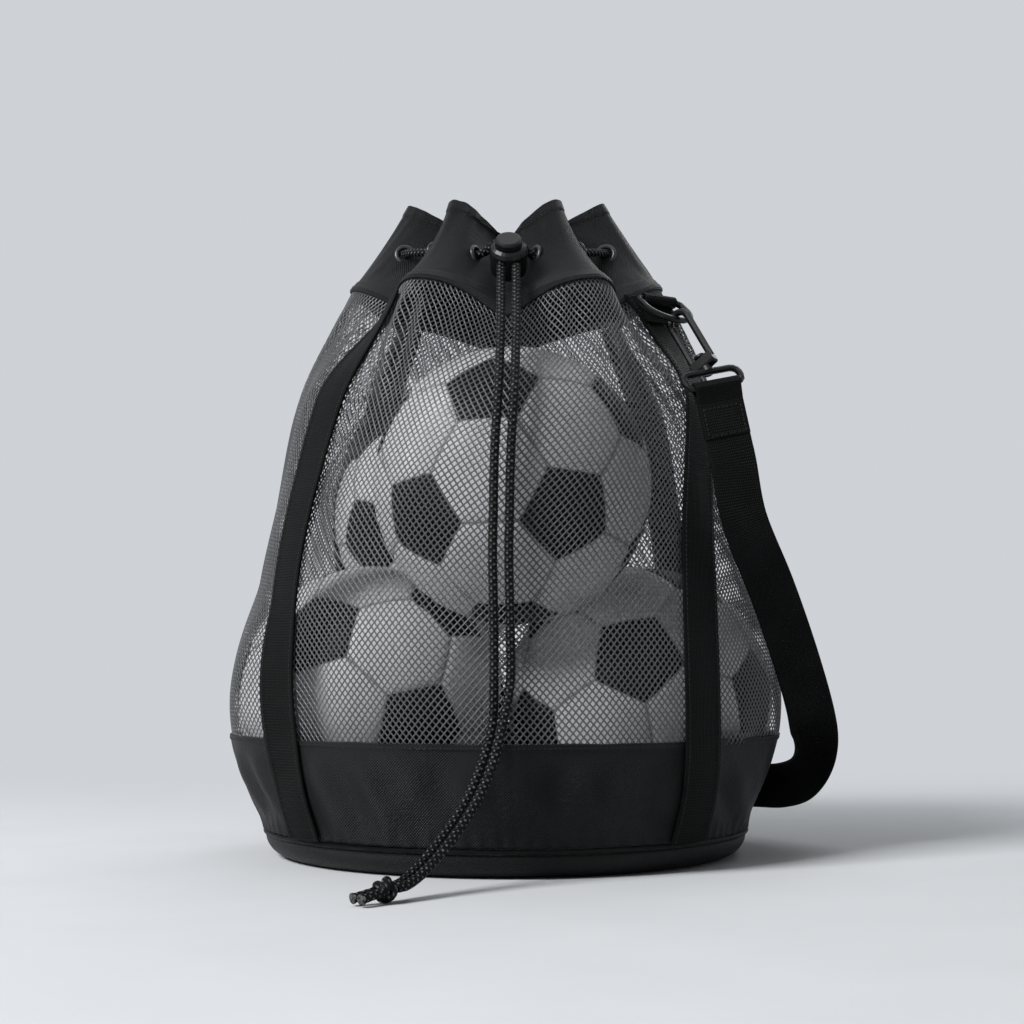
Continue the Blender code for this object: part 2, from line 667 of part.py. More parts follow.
closing = np.interp(np.arange(len(route)), (0, 8, len(route) - 1), (CORD_SPREAD, CORD_SPREAD, at_knot))
for side, name in ((-1, "cord_tail_left"), (1, "cord_tail_right")):
    straight = [entry(side) + run_out * (FIT + s) for s in np.linspace(0, TURN_IN + TAIL_STRAIGHT, 6)]
    rest = route + side * closing[:, None] * sides
    finish(tube(name, np.concatenate((straight, rest)), CORD_RADIUS), CORD, 0.8)

bm = bmesh.new()
bmesh.ops.create_icosphere(bm, subdivisions=2, radius=KNOT_RADIUS, matrix=Matrix.Translation(KNOT_PLACE))
finish(add_bm("cord_knot", bm), CORD, 0.8)
end_side = unit(np.cross(END_WAY, (0, 0, 1)))
for side, name in ((-1, "cord_end_left"), (1, "cord_end_right")):
    start = KNOT_PLACE + END_WAY * (KNOT_RADIUS + FIT) + end_side * side * (CORD_RADIUS + FIT)
    finish(tube(name, [start, start + 0.014 * END_WAY], CORD_RADIUS), CORD, 0.8)

# Balls
def ball_mesh(name, centre):
    bm = bmesh.new()
    bmesh.ops.create_uvsphere(bm, u_segments=20, v_segments=12, radius=BALL_RADIUS)
    obj = add_bm(name, bm)
    obj.location = centre
    return finish(obj, WHITE, 0.35)


for name, centre in BALLS.items():
    ball_mesh(name, centre)


# D-ring, its keeper and the swivel hook, set out from the top of the front right strap
right = "strap_front_right"
ring_z = STACK_TOP + SEAM_VALLEY_RISE + 0.010
ring_phi = float(strap_azimuth(right, ring_z))


def right_skin(phi, z):
    return place(phi, bag_radius(phi, z), z)


ring_side = unit(right_skin(ring_phi + 0.10, ring_z) - right_skin(ring_phi - 0.10, ring_z))
ring_down = right_skin(ring_phi, ring_z - 0.018) - right_skin(ring_phi, ring_z + 0.006)
ring_down = unit(ring_down - ring_side * np.dot(ring_down, ring_side))
ring_out = unit(np.cross(ring_down, ring_side))
ring_out = ring_out if ring_out[1] < 0 else -ring_out
KEEPER_OUTER = RING_WIRE + LOOSE + WEB_THICKNESS
bar = right_skin(ring_phi, ring_z) + ring_out * (STRAP_LIFT + WEB_THICKNESS + 2 * LOOSE + KEEPER_OUTER)
ring_way = unit(ring_down * math.cos(RING_LIFT) + ring_out * math.sin(RING_LIFT))
ring_flat = unit(np.cross(ring_side, ring_way))
bar_frame = axes_matrix(bar, ring_side, ring_flat, np.cross(ring_side, ring_flat))

outline = [(-RING_HALF + 0.003, 0.0), (RING_HALF - 0.003, 0.0), (RING_HALF, 0.003)]
for a in np.linspace(0, math.pi, 11):
    outline.append((RING_HALF * math.cos(a), RING_HEIGHT - 0.016 + 0.016 * math.sin(a)))
outline.append((-RING_HALF, 0.003))
ring_points = [bar + ring_side * x + ring_way * y for x, y in outline]
d_ring = ring_tube("d_ring", [(p - bar) for p in ring_points], RING_WIRE, 2)
d_ring.location = bar
finish(d_ring, PLASTIC, 0.4)

keeper_outline = [(0.020, -KEEPER_OUTER), (0.0, -KEEPER_OUTER)]
low_angle = math.asin((RING_WIRE + LOOSE) / KEEPER_OUTER)
for a in np.linspace(-math.pi / 2, -2 * math.pi + -low_angle, 13)[1:]:
    keeper_outline.append((KEEPER_OUTER * math.cos(a), KEEPER_OUTER * math.sin(a)))
keeper_outline.append((0.020, -(RING_WIRE + LOOSE)))
hole = [((RING_WIRE + LOOSE) * math.cos(a), (RING_WIRE + LOOSE) * math.sin(a))
        for a in np.linspace(0, 2 * math.pi, 13)[:-1]]


def outline_solid(name, loops, half, frame):
    curve = bpy.data.curves.new(name, "CURVE")
    curve.dimensions = "2D"
    curve.fill_mode = "BOTH"
    curve.extrude = half
    for loop in loops:
        spline = curve.splines.new("POLY")
        spline.points.add(len(loop) - 1)
        for target, (x, y) in zip(spline.points, loop):
            target.co = (x, y, 0.0, 1.0)
        spline.use_cyclic_u = True
    obj = bpy.data.objects.new(name, curve)
    parts.objects.link(obj)
    obj.matrix_world = frame
    return obj


keeper_frame = axes_matrix(bar, ring_down, ring_out, np.cross(ring_down, ring_out))
finish(outline_solid("ring_keeper", [keeper_outline, hole], KEEPER_HALF, keeper_frame), WEB, 0.7)

# Swivel snap hook: local Z runs up to the bow, local X to the shank side
wire = bar + ring_way * RING_HEIGHT
lean = (SHOULDER_RADIUS - NECK_RADIUS) / (SHOULDER_DROP + NECK_RISE) + HOOK_LEAN
hang = unit((lean * math.sin(HOOK_TURN), -lean * math.cos(HOOK_TURN), -1.0))
bow_reach = HOOK_SHANK + HOOK_HALF - HOOK_ROD - LOOSE - RING_WIRE
hook_foot = wire + hang * bow_reach
eye_side = unit(np.array(EYE_SIDE) - hang * np.dot(EYE_SIDE, hang))
eye_flat = np.cross(-hang, eye_side)
eye_frame = axes_matrix(hook_foot, eye_side, eye_flat, -hang)
hook_face = unit(HOOK_FACE - hang * np.dot(HOOK_FACE, hang))
hook_frame = axes_matrix(hook_foot, np.cross(hook_face, -hang), hook_face, -hang)

bow = [(HOOK_HALF, 0, 0.002), (HOOK_HALF, 0, 0.5 * HOOK_SHANK)]
for a in np.linspace(0, math.pi, 9):
    bow.append((HOOK_HALF * math.cos(a), 0, HOOK_SHANK + HOOK_HALF * math.sin(a)))
nose = HOOK_SHANK - HOOK_NOSE
bow.append((-HOOK_HALF, 0, nose))
hook = as_mesh(tube("snap_hook", bow, HOOK_ROD, 2))
block = box("hook_block", BLOCK_HALF, (0, 0, 0), cutters)
edge = block.modifiers.new("edge", "BEVEL")
edge.width = BLOCK_EDGE
edge.segments = 1
shaft = cylinder("post_bore", POST_RADIUS + LOOSE, -0.02, 0.02, 16, cutters)
for obj in (hook, block, shaft):
    obj.matrix_world = hook_frame
boolean(hook, block, "UNION")
boolean(hook, shaft, "DIFFERENCE")
finish(hook, PLASTIC, 0.4)

gate_foot = BLOCK_HALF[2] + GATE_STEP
gate = tube("hook_gate", [(0, 0, 0), (0, 0, nose - FIT - gate_foot)], HOOK_ROD * GATE_SHARE, 2)
gate.matrix_world = hook_frame @ Matrix.Translation((-HOOK_HALF, 0, gate_foot))
finish(gate, PLASTIC, 0.4)

# Swivel eye: post through the hook's block with a head above and a collar below, and a slot for webbing
eye_drop = BLOCK_HALF[2] + LOOSE + EYE_NECK[1]
eye_loop = []
corner_x = EYE_HALF - EYE_CORNER
corner_top = -EYE_CORNER
corner_foot = -2 * EYE_RISE + EYE_CORNER
for cx, cz, first in ((corner_x, corner_top, 0.5 * math.pi), (corner_x, corner_foot, 0.0),
                      (-corner_x, corner_foot, -0.5 * math.pi), (-corner_x, corner_top, math.pi)):
    for a in np.linspace(first, first - 0.5 * math.pi, 4):
        eye_loop.append((cx + EYE_CORNER * math.cos(a), 0, cz - eye_drop + EYE_CORNER * math.sin(a)))
eye = as_mesh(ring_tube("hook_eye", eye_loop, EYE_ROD, 2))
head_foot = BLOCK_HALF[2] + LOOSE
post = cylinder("eye_post", POST_RADIUS, -eye_drop, head_foot + 0.4 * POST_HEAD[1], 16, cutters)
head = cylinder("eye_head", POST_HEAD[0], head_foot, head_foot + POST_HEAD[1], 16, cutters)
neck = cylinder("eye_neck", EYE_NECK[0], -eye_drop - 0.3 * EYE_NECK[1], -head_foot, 16, cutters)
for obj in (eye, post, head, neck):
    obj.matrix_world = eye_frame
boolean(eye, neck, "UNION")
boolean(eye, post, "UNION")
boolean(eye, head, "UNION")
finish(eye, PLASTIC, 0.4)

# Sewn end loop of the carry strap round the lower bar of the eye
eye_bar = hook_foot + hang * (eye_drop + 2 * EYE_RISE)
LOOP_OUTER = EYE_ROD + LOOSE + WEB_THICKNESS
loop_way = unit(np.array(LOOP_HANG) - eye_side * np.dot(LOOP_HANG, eye_side))
loop_flat = np.cross(loop_way, eye_side)
loop_outline = [(LOOP_LENGTH, -WEB_THICKNESS), (0.012, -WEB_THICKNESS - 0.0002), (0.0, -LOOP_OUTER)]
for a in np.linspace(-math.pi / 2, -1.5 * math.pi, 9)[1:-1]:
    loop_outline.append((LOOP_OUTER * math.cos(a), LOOP_OUTER * math.sin(a)))
loop_outline += [(0.0, LOOP_OUTER), (0.012, WEB_THICKNESS + 0.0002), (LOOP_LENGTH, WEB_THICKNESS)]
loop_hole = [((EYE_ROD + LOOSE) * math.cos(a), (EYE_ROD + LOOSE) * math.sin(a))
             for a in np.linspace(0, 2 * math.pi, 13)[:-1]]
loop_frame = axes_matrix(eye_bar, loop_way, np.cross(eye_side, loop_way), eye_side)
finish(outline_solid("strap_end_loop", [loop_outline, loop_hole], WEB_HALF, loop_frame), WEB, 0.7)

# Carry strap: a ribbon from the sewn loop down the right side and round to the back
strap_start = eye_bar + loop_way * (LOOP_LENGTH + SEW_GAP)
STRAP_ROUTE = ((0.1820, -0.1120, 0.2600), (0.2050, -0.0930, 0.2080), (0.2270, -0.0640, 0.1560),
               (0.2440, -0.0310, 0.1110), (0.2520, 0.0030, 0.0800), (0.2490, 0.0420, 0.0570),
               (0.2360, 0.0790, 0.0470), (0.2140, 0.1080, 0.0450))
STRAP_EDGE = ((0.95, 0.30, 0.18), (0.95, 0.30, 0.08), (0.93, 0.36, -0.05), (0.86, 0.38, -0.25),
              (0.62, 0.25, -0.70), (0.30, 0.05, -0.95), (0.10, 0.02, -1.0), (0.05, 0.03, -1.0))
anchor_phi = strap_azimuth("strap_back_right", ANCHOR_HEIGHT) + np.array([-0.10, 0.0, 0.09])
anchor_lift = STRAP_LIFT + 1.5 * WEB_THICKNESS + SEW_GAP
hand_on = place(anchor_phi[0] - 0.12, bag_radius(anchor_phi[0] - 0.12, ANCHOR_HEIGHT) + 0.012, ANCHOR_HEIGHT)
anchor = place(anchor_phi, bag_radius(anchor_phi, ANCHOR_HEIGHT) + anchor_lift, ANCHOR_HEIGHT)
straight_start = [strap_start + loop_way * s for s in (0, 0.012, 0.024)]
route = np.concatenate((straight_start, np.array(STRAP_ROUTE), [hand_on], anchor))
anchor_low = place(anchor_phi, bag_radius(anchor_phi, ANCHOR_HEIGHT - WEB_HALF), ANCHOR_HEIGHT - WEB_HALF)
anchor_high = place(anchor_phi, bag_radius(anchor_phi, ANCHOR_HEIGHT + WEB_HALF), ANCHOR_HEIGHT + WEB_HALF)
anchor_edge = (anchor_low - anchor_high) / (2 * WEB_HALF)
edges = np.concatenate(([eye_side] * 3, np.array(STRAP_EDGE), anchor_edge[:1], anchor_edge))
steps = np.arange(len(route))
dense = np.linspace(0, len(route) - 1, 43)
line = np.stack([smooth_through(steps, route[:, i], dense) for i in range(3)], axis=-1)
edge = np.stack([smooth_through(steps, edges[:, i], dense) for i in range(3)], axis=-1)
way = np.gradient(line, axis=0)
edge = edge - way * ((edge * way).sum(axis=1) / (way * way).sum(axis=1))[:, None]
edge = edge / np.linalg.norm(edge, axis=1, keepdims=True)
ribbon = np.stack((line - WEB_HALF * edge, line + WEB_HALF * edge), axis=1)
finish(shell("shoulder_strap", ribbon, WEB_THICKNESS, offset=0.0), WEB, 0.7)

patch_phi = anchor_phi[1] + np.linspace(0.0, 0.7, 4)[None, :] * WEB_HALF / BAND_MID_RADIUS
patch_z = ANCHOR_HEIGHT + np.array([-0.5, 0.0, 0.5])[:, None] * WEB_HALF
patch_radius = bag_radius(patch_phi, patch_z) + anchor_lift + 0.5 * WEB_THICKNESS + 1 * SEW_GAP
finish(shell("strap_anchor", place(patch_phi, patch_radius, patch_z), WEB_THICKNESS, offset=1.0), WEB, 0.7)
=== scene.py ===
import json
import math
from itertools import combinations, permutations

import bmesh
import bpy
import numpy as np
from mathutils import Matrix

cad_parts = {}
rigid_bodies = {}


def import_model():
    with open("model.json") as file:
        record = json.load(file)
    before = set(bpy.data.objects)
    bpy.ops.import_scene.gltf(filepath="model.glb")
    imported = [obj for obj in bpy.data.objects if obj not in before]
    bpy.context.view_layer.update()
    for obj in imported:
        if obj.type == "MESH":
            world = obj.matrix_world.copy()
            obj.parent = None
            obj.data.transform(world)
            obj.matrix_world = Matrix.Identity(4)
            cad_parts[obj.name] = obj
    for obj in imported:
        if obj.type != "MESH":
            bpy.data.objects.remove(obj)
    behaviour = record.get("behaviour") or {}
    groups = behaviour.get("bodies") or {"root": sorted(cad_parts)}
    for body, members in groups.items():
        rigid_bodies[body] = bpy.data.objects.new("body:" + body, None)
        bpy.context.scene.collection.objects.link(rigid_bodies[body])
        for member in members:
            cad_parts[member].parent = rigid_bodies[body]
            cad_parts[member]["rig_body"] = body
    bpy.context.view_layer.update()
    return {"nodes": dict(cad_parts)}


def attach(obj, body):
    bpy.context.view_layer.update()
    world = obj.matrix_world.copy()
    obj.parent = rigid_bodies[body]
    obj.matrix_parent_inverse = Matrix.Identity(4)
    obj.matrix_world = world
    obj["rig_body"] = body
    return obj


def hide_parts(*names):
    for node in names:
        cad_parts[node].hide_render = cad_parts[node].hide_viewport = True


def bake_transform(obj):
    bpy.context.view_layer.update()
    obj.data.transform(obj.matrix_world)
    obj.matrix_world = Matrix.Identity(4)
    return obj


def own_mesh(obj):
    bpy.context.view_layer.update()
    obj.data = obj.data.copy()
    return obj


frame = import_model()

scene = bpy.context.scene
nodes = frame["nodes"]
for stray in [o for o in bpy.data.objects if "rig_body" not in o and not o.name.startswith("body:")]:
    bpy.data.objects.remove(stray)
print("frame loaded:", len(nodes), "nodes")

# camera: level with the lower balls, tipped up a little
viewSet = {"place": (0.0049, -1.45, 0.160), "pitch": 4.57, "lens": 62.05, "sensor": 36}
camera = bpy.data.objects.new("photoCamera", bpy.data.cameras.new("photoCamera"))
camera.data.lens = viewSet["lens"]
camera.data.sensor_width = viewSet["sensor"]
camera.location = viewSet["place"]
camera.rotation_euler = (math.radians(90 + viewSet["pitch"]), 0, 0)
scene.collection.objects.link(camera)
scene.camera = camera
print("camera set")


# small numpy helpers
def unit(v):
    v = np.asarray(v, float)
    return v / np.maximum(np.linalg.norm(v, axis=-1, keepdims=True), 1e-12)


def squareTo(v, way):  # the unit way of v once its part along another unit way is taken off
    v = np.asarray(v, float)
    return unit(v - way * (v @ way))


def smoothStep(x):  # 3x^2 - 2x^3 between 0 and 1
    x = np.clip(x, 0.0, 1.0)
    return x * x * (3.0 - 2.0 * x)


def smoothThrough(knots, values, x):  # cubic Hermite through the knots, slopes averaged at each
    knots = np.asarray(knots, float)
    values = np.asarray(values, float)
    step = np.diff(knots)
    slope = np.diff(values) / step
    tangent = np.concatenate((slope[:1], 0.5 * (slope[1:] + slope[:-1]), slope[-1:]))
    x = np.clip(x, knots[0], knots[-1])
    i = np.clip(np.searchsorted(knots, x, side="right") - 1, 0, len(step) - 1)
    t = (x - knots[i]) / step[i]
    low = (1 + 2 * t) * (1 - t) ** 2 * values[i] + t * (1 - t) ** 2 * step[i] * tangent[i]
    high = t * t * (3 - 2 * t) * values[i + 1] + t * t * (t - 1) * step[i] * tangent[i + 1]
    return low + high


def curveThrough(points, at):  # the same cubic through rows of columns, one knot to a row
    return joined(*[smoothThrough(np.arange(len(points)), column, at) for column in points.T])


def splineLine(points, count):  # a line through points in space, evenly spaced by length
    points = np.asarray(points, float)
    fine = np.linspace(0, len(points) - 1, 40 * len(points))
    line = curveThrough(points, fine)
    run = lineLength(line)
    return along(line, run, np.linspace(0, run[-1], count))


def lineLength(line):  # length run so far at every point
    return np.concatenate(([0.0], np.cumsum(np.linalg.norm(np.diff(line, axis=0), axis=1))))


def along(values, run, at):  # columns of values, given at the lengths in run, read at other lengths
    return np.stack([np.interp(at, run, values[:, i]) for i in range(3)], axis=-1)


def joined(*columns):  # columns of any fitting shapes side by side on a last axis
    return np.stack(np.broadcast_arrays(*columns), axis=-1)


def roundTurn(count):  # angles evenly round a full turn, the end left out
    return np.linspace(0, 2 * math.pi, count + 1)[:-1]


def wrinkle(phi, z, seed, turns, climbs, count):  # sum of slanted sine waves that close round the bag
    rng = np.random.default_rng(seed)
    n = rng.integers(*turns, count)
    m = rng.uniform(*climbs, count)
    p = rng.uniform(0, 2 * math.pi, count)
    phi, z = np.broadcast_arrays(phi, z)
    return np.sin(n * phi[..., None] + m * z[..., None] + p).sum(axis=-1) / math.sqrt(count)


# putting arrays into meshes
def putMesh(name, points, faces, uv=None):  # faces: list of index arrays, uv: one pair per corner
    points = np.asarray(points, float).reshape(-1, 3)
    used, flat = np.unique(np.concatenate([f.ravel() for f in faces]), return_inverse=True)
    sizes = np.concatenate([np.full(len(f), f.shape[1]) for f in faces])
    mesh = bpy.data.meshes.new(name)
    mesh.vertices.add(len(used))
    mesh.vertices.foreach_set("co", points[used].ravel())
    mesh.loops.add(len(flat))
    mesh.loops.foreach_set("vertex_index", flat.ravel().astype(np.int32))
    mesh.polygons.add(len(sizes))
    mesh.polygons.foreach_set("loop_start", np.concatenate(([0], np.cumsum(sizes)[:-1])).astype(np.int32))
    mesh.polygons.foreach_set("use_smooth", np.full(len(sizes), True))
    if uv is not None:
        layer = mesh.uv_layers.new(name="UVMap")
        layer.data.foreach_set("uv", np.concatenate([u.reshape(-1, 2) for u in uv]).ravel())
    mesh.update(calc_edges=True)
    mesh.validate()
    obj = bpy.data.objects.new(name, mesh)
    scene.collection.objects.link(obj)
    return obj


def cells(grid):  # the four corners of every cell between neighbouring rows and columns
    return np.stack((grid[:-1, :-1], grid[:-1, 1:], grid[1:, 1:], grid[1:, :-1]), axis=2)


def skinGrid(name, points, wrapCols=False, wrapRows=False, uv=None, poles=False):
    rows, cols = points.shape[:2]
    index = np.arange(rows * cols).reshape(rows, cols)
    if wrapCols:
        index = np.concatenate((index, index[:, :1]), axis=1)
    if wrapRows:
        index = np.concatenate((index, index[:1]), axis=0)
    if uv is None:
        uv = joined(np.linspace(0, 1, index.shape[1])[None, :], np.linspace(0, 1, index.shape[0])[:, None])
    body = slice(1, -1) if poles else slice(None)
    faces, corners = [cells(index[body]).reshape(-1, 4)], [cells(uv[body]).reshape(-1, 4, 2)]
    if poles:  # first and last row are one point each, closed by triangles
        faces += [joined(index[0, 0], index[1, 1:], index[1, :-1]),
                  joined(index[-1, 0], index[-2, :-1], index[-2, 1:])]
        corners += [np.stack((uv[0, :-1], uv[1, 1:], uv[1, :-1]), axis=-2),
                    np.stack((uv[-1, :-1], uv[-2, :-1], uv[-2, 1:]), axis=-2)]
    return putMesh(name, points, faces, corners)


def circles(turn, side, up):  # a unit circle for every pair of square axes
    return np.cos(turn)[:, None] * side[:, None] + np.sin(turn)[:, None] * up[:, None]


def tubeGrid(line, radius, sides, ref, bump=None):
    # circles square to a line, ref x tangent gives their first axis
    way = unit(np.gradient(line, axis=0))
    side = unit(np.cross(ref, way))
    turn = roundTurn(sides)
    size = np.broadcast_to(np.asarray(radius, float).reshape(-1, 1), (len(line), sides))
    if bump is not None:
        size = size * bump(lineLength(line)[:, None], turn[None, :])
    return line[:, None] + size[..., None] * circles(turn, side, np.cross(way, side))


def capped(points):  # closes a tube: its end rows drawn in to a point
    start, end = (np.tile(row.mean(axis=0), (1, points.shape[1], 1)) for row in (points[0], points[-1]))
    return np.concatenate((start, points, end))


def tubeUv(points, wrapRows=False):  # u once round, v metres along the middle line
    middle = points.mean(axis=1)
    run = lineLength(np.concatenate((middle, middle[:1])) if wrapRows else middle)
    return joined(np.linspace(0, 1, points.shape[1] + 1)[None, :], run[:, None])


def closedTube(line, *shape):  # tube round a line whose end meets its start
    return tubeGrid(np.concatenate((line[-2:], line, line[:2])), *shape)[2:-2]


def cleaned(obj, action):
    bm = bmesh.new()
    bm.from_mesh(obj.data)
    action(bm)
    bm.to_mesh(obj.data)
    bm.free()
    return obj


def outwardFaces(obj):
    return cleaned(obj, lambda bm: bmesh.ops.recalc_face_normals(bm, faces=bm.faces))


def gridArea(points):  # area of a grid of points, two triangles to a cell
    a, b, c, d = np.moveaxis(cells(points), 2, 0)
    halves = [np.linalg.norm(np.cross(e - a, f - a), axis=-1) for e, f in ((b, c), (c, d))]
    return 0.5 * float((halves[0] + halves[1]).sum())


stitchSet = {"long": 0.0026, "pitch": 0.0037, "thread": 0.00036, "sides": 6, "full": 0.72, "tip": 0.25}


def stitchRows(name, rows, slot, body="bag"):
    # a short round dash at every pitch of each line, lying square to the line's normals
    sides = stitchSet["sides"]
    turn = np.arange(sides) * 2 * math.pi / sides
    full, tip = stitchSet["full"], stitchSet["tip"]
    reach = np.array([-1.0, -full, full, 1.0]) * 0.5 * stitchSet["long"]
    girth = np.array([tip, 1.0, 1.0, tip]) * stitchSet["thread"]
    dashes = []
    for line, normal in rows:
        run = lineLength(line)
        at = np.arange(0.5 * stitchSet["pitch"], run[-1], stitchSet["pitch"])
        spot, up, way = (along(v, run, at) for v in (line, normal, np.gradient(line, axis=0)))
        way = unit(way)
        side = unit(np.cross(up, way))
        ring = circles(turn, side, np.cross(way, side))
        dashes.append(spot[:, None, None] + reach[None, :, None, None] * way[:, None, None]
                      + girth[None, :, None, None] * ring[:, None])
    dashes = np.concatenate(dashes)
    one = np.arange(4 * sides).reshape(4, sides)
    one = np.concatenate((one, one[:, :1]), axis=1)
    quads = cells(one).reshape(-1, 4)
    ends = np.stack((one[0, :-1][::-1], one[3, :-1]))
    shift = 4 * sides * np.arange(len(dashes))[:, None, None]
    made = putMesh(name, dashes, [(quads + shift).reshape(-1, 4), (ends + shift).reshape(-1, sides)])
    return fixed(wearing(made, thread), slot, body=body)


def thicken(obj, depth):
    wall = obj.modifiers.new("wall", "SOLIDIFY")
    wall.thickness = depth
    wall.offset = -1.0
    wall.use_even_offset = False
    return obj


def camel(node):  # a node's name as a piece is called
    first, *rest = node.split("_")
    return first + "".join(word.title() for word in rest)


def fixed(obj, slot, *stoodFor, body="bag"):  # a piece rides a body and stands for nodes; slot is not used
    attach(obj, body)
    if stoodFor:
        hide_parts(*stoodFor)
    return obj


# shader maths: an expression on wires adds its nodes
class Wire:
    def __init__(self, board, socket):
        self.board, self.socket = board, socket

    def step(self, operation, other=0.0):
        return self.board.node("ShaderNodeMath", {"operation": operation}, {0: self, 1: other})

    def __add__(self, other): return self.step("ADD", other)
    def __sub__(self, other): return self.step("SUBTRACT", other)
    def __mul__(self, other): return self.step("MULTIPLY", other)
    def sin(self): return self.step("SINE")


class Board:
    def __init__(self, owner):  # a material or the world
        owner.use_nodes = True
        self.owner, self.tree = owner, owner.node_tree
        self.shader = self.tree.nodes.get("Principled BSDF") or self.tree.nodes["Background"]

    def node(self, kind, settings=None, sockets=None, output=0):
        made = self.tree.nodes.new(kind)
        for key, value in (settings or {}).items():
            if key == "stops":
                for stop, (at, colour) in zip(made.color_ramp.elements, value):
                    stop.position, stop.color = at, (*colour, 1)
            else:
                setattr(made, key, value)
        self.feed(made, sockets or {})
        return Wire(self, made.outputs[output])

    def feed(self, target, sockets):
        for key, value in sockets.items():
            if isinstance(value, Wire):
                self.tree.links.new(value.socket, target.inputs[key])
            else:
                target.inputs[key].default_value = value

    def spot(self, kind="Object"):
        return self.node("ShaderNodeTexCoord", output=kind)

    def pair(self, kind):  # the first two coordinates apart
        split = self.node("ShaderNodeSeparateXYZ", {}, {0: self.spot(kind)}).socket.node
        return Wire(self, split.outputs[0]), Wire(self, split.outputs[1])

    def noise(self, vector, scale, detail):
        return self.node("ShaderNodeTexNoise", {}, {"Vector": vector, "Scale": scale, "Detail": detail})

    def ramp(self, value, low, high, ends):
        stops = ((ends[0], low), (ends[1], high))
        return self.node("ShaderNodeValToRGB", {"stops": stops}, {"Fac": value})

    def bump(self, height, distance, strength=1.0):
        return self.node("ShaderNodeBump", {}, {"Height": height, "Distance": distance, "Strength": strength})

    def wear(self, sockets):
        self.feed(self.shader, sockets)
        return self.owner

    def showPale(self, kind, output, share=1.0):  # what camera, glossy and transmission rays see instead
        kinds = ("Is Camera Ray", "Is Glossy Ray", "Is Transmission Ray")
        rays = [self.node("ShaderNodeLightPath", output=word) for word in kinds]
        seen = (rays[0] + rays[1] + rays[2]).step("MINIMUM", 1.0)
        glow = self.node(kind, {}, {"Color": stageSet["pale"], "Strength": 1.0})
        plain = Wire(self, self.shader.outputs[0])
        mixed = self.node("ShaderNodeMixShader", {}, {0: seen * share, 1: plain, 2: glow})
        self.feed(self.tree.nodes[output], {"Surface": mixed})


def wearing(obj, *materials):
    obj.data.materials.clear()
    for m in materials:
        obj.data.materials.append(m)
    return obj


def newBoard(name):
    return Board(bpy.data.materials.new(name))


def nylonFinish():  # woven nylon: slanted ribs on the uv in metres, soft dusty patches
    b = newBoard("nylonCloth")
    spot, (u, v) = b.spot(), b.pair("UV")
    twill = ((u + v) * 2850.0).sin() * 0.6 + ((u - v) * 2850.0).sin() * 0.4
    cloud = b.noise(spot, 22.0, 4.0)
    colour = b.ramp(cloud + twill * 0.30, (0.0020, 0.0022, 0.0025), (0.0080, 0.0084, 0.0092), (0.28, 0.75))
    height = twill * 0.5 + b.noise(spot, 260.0, 2.0)
    return b.wear({"Base Color": colour, "Roughness": cloud * 0.2 + 0.34, "Normal": b.bump(height, 0.0007),
                   "Specular IOR Level": 0.18})


def netFinish():  # knitted grey strand with a slight gloss
    b = newBoard("netStrand")
    spot = b.spot()
    colour = b.ramp(b.noise(spot, 16.0, 3.0), (0.040, 0.042, 0.045), (0.070, 0.072, 0.076), (0.3, 0.7))
    fine = b.noise(spot, 1400.0, 2.0)
    return b.wear({"Base Color": colour, "Roughness": fine * 0.2 + 0.22, "Normal": b.bump(fine, 0.0002, 0.6),
                   "Specular IOR Level": 0.9})


def webFinish():  # ribbed webbing: chevron yarns on the uv in metres
    b = newBoard("webbing")
    u, v = b.pair("UV")
    yarn = ((u * 4200.0) + (v * 2992.0).sin() * 1.2).sin()
    cloud = b.noise(b.spot(), 30.0, 3.0)
    colour = b.ramp(cloud + yarn * 0.12, (0.0016, 0.0018, 0.0018), (0.0060, 0.0063, 0.0064), (0.3, 0.75))
    return b.wear({"Base Color": colour, "Roughness": cloud * 0.2 + 0.36, "Normal": b.bump(yarn, 0.00025, 0.8),
                   "Specular IOR Level": 0.06})


braidSet = {"strands": 4, "climb": 1309.0}  # strands each way round the cord, radians along it per metre


def cordFinish(name, tip=None):  # braid: two families of slanted strands whose crossings get painted highlights, pale flecks broken up by noise
    b = newBoard(name)
    u, v = b.pair("UV")
    turn, climb = u * float(braidSet["strands"]) * 2 * math.pi, v * braidSet["climb"]
    braid = ((turn + climb).sin() + (turn - climb).sin()) * 0.5
    # painted highlight: the colour is lifted to pale flecks where the braid's strands cross, broken up by random
    # noise; the tip adds real pale frayed yarn
    toneAndPaintedGlint = b.noise(b.spot(), 520.0, 2.0) * 0.5 + braid * 0.30 + 0.25
    if tip is not None:  # pale frayed yarn past this length
        toneAndPaintedGlint = toneAndPaintedGlint + ((v - tip) * 400.0).step("MAXIMUM", 0.0).step("MINIMUM", 0.20)
    colour = b.ramp(toneAndPaintedGlint, (0.0022, 0.0024, 0.0025), (0.150, 0.153, 0.158), (0.62, 0.84))
    return b.wear({"Base Color": colour, "Roughness": 0.5, "Normal": b.bump(braid, 0.0005, 0.9),
                   "Specular IOR Level": 0.10})


def coverFinish(name, low, high, rough):  # stitched ball panel: pebbled grain, with painted shade pulling the colour near-black along the sunk seams
    b = newBoard(name)
    spot = b.spot()
    pebble = b.node("ShaderNodeTexVoronoi", {"feature": "F1"}, {"Vector": spot, "Scale": 620.0})
    cloud = b.noise(spot, 18.0, 4.0)
    seam = b.node("ShaderNodeAttribute", {"attribute_name": "seam"}, output="Fac")
    face = b.ramp(cloud, low, high, (0.35, 0.7))
    # painted shade: the seam mask mixes the panel colour towards near-black in the seam grooves
    colour = b.node("ShaderNodeMix", {"data_type": "RGBA"}, {0: seam, 6: face, 7: (0.02, 0.02, 0.022, 1)}, 2)
    return b.wear({"Base Color": colour, "Roughness": cloud * 0.15 + rough,
                   "Normal": b.bump(pebble, 0.00012, 0.5), "Specular IOR Level": 0.14})


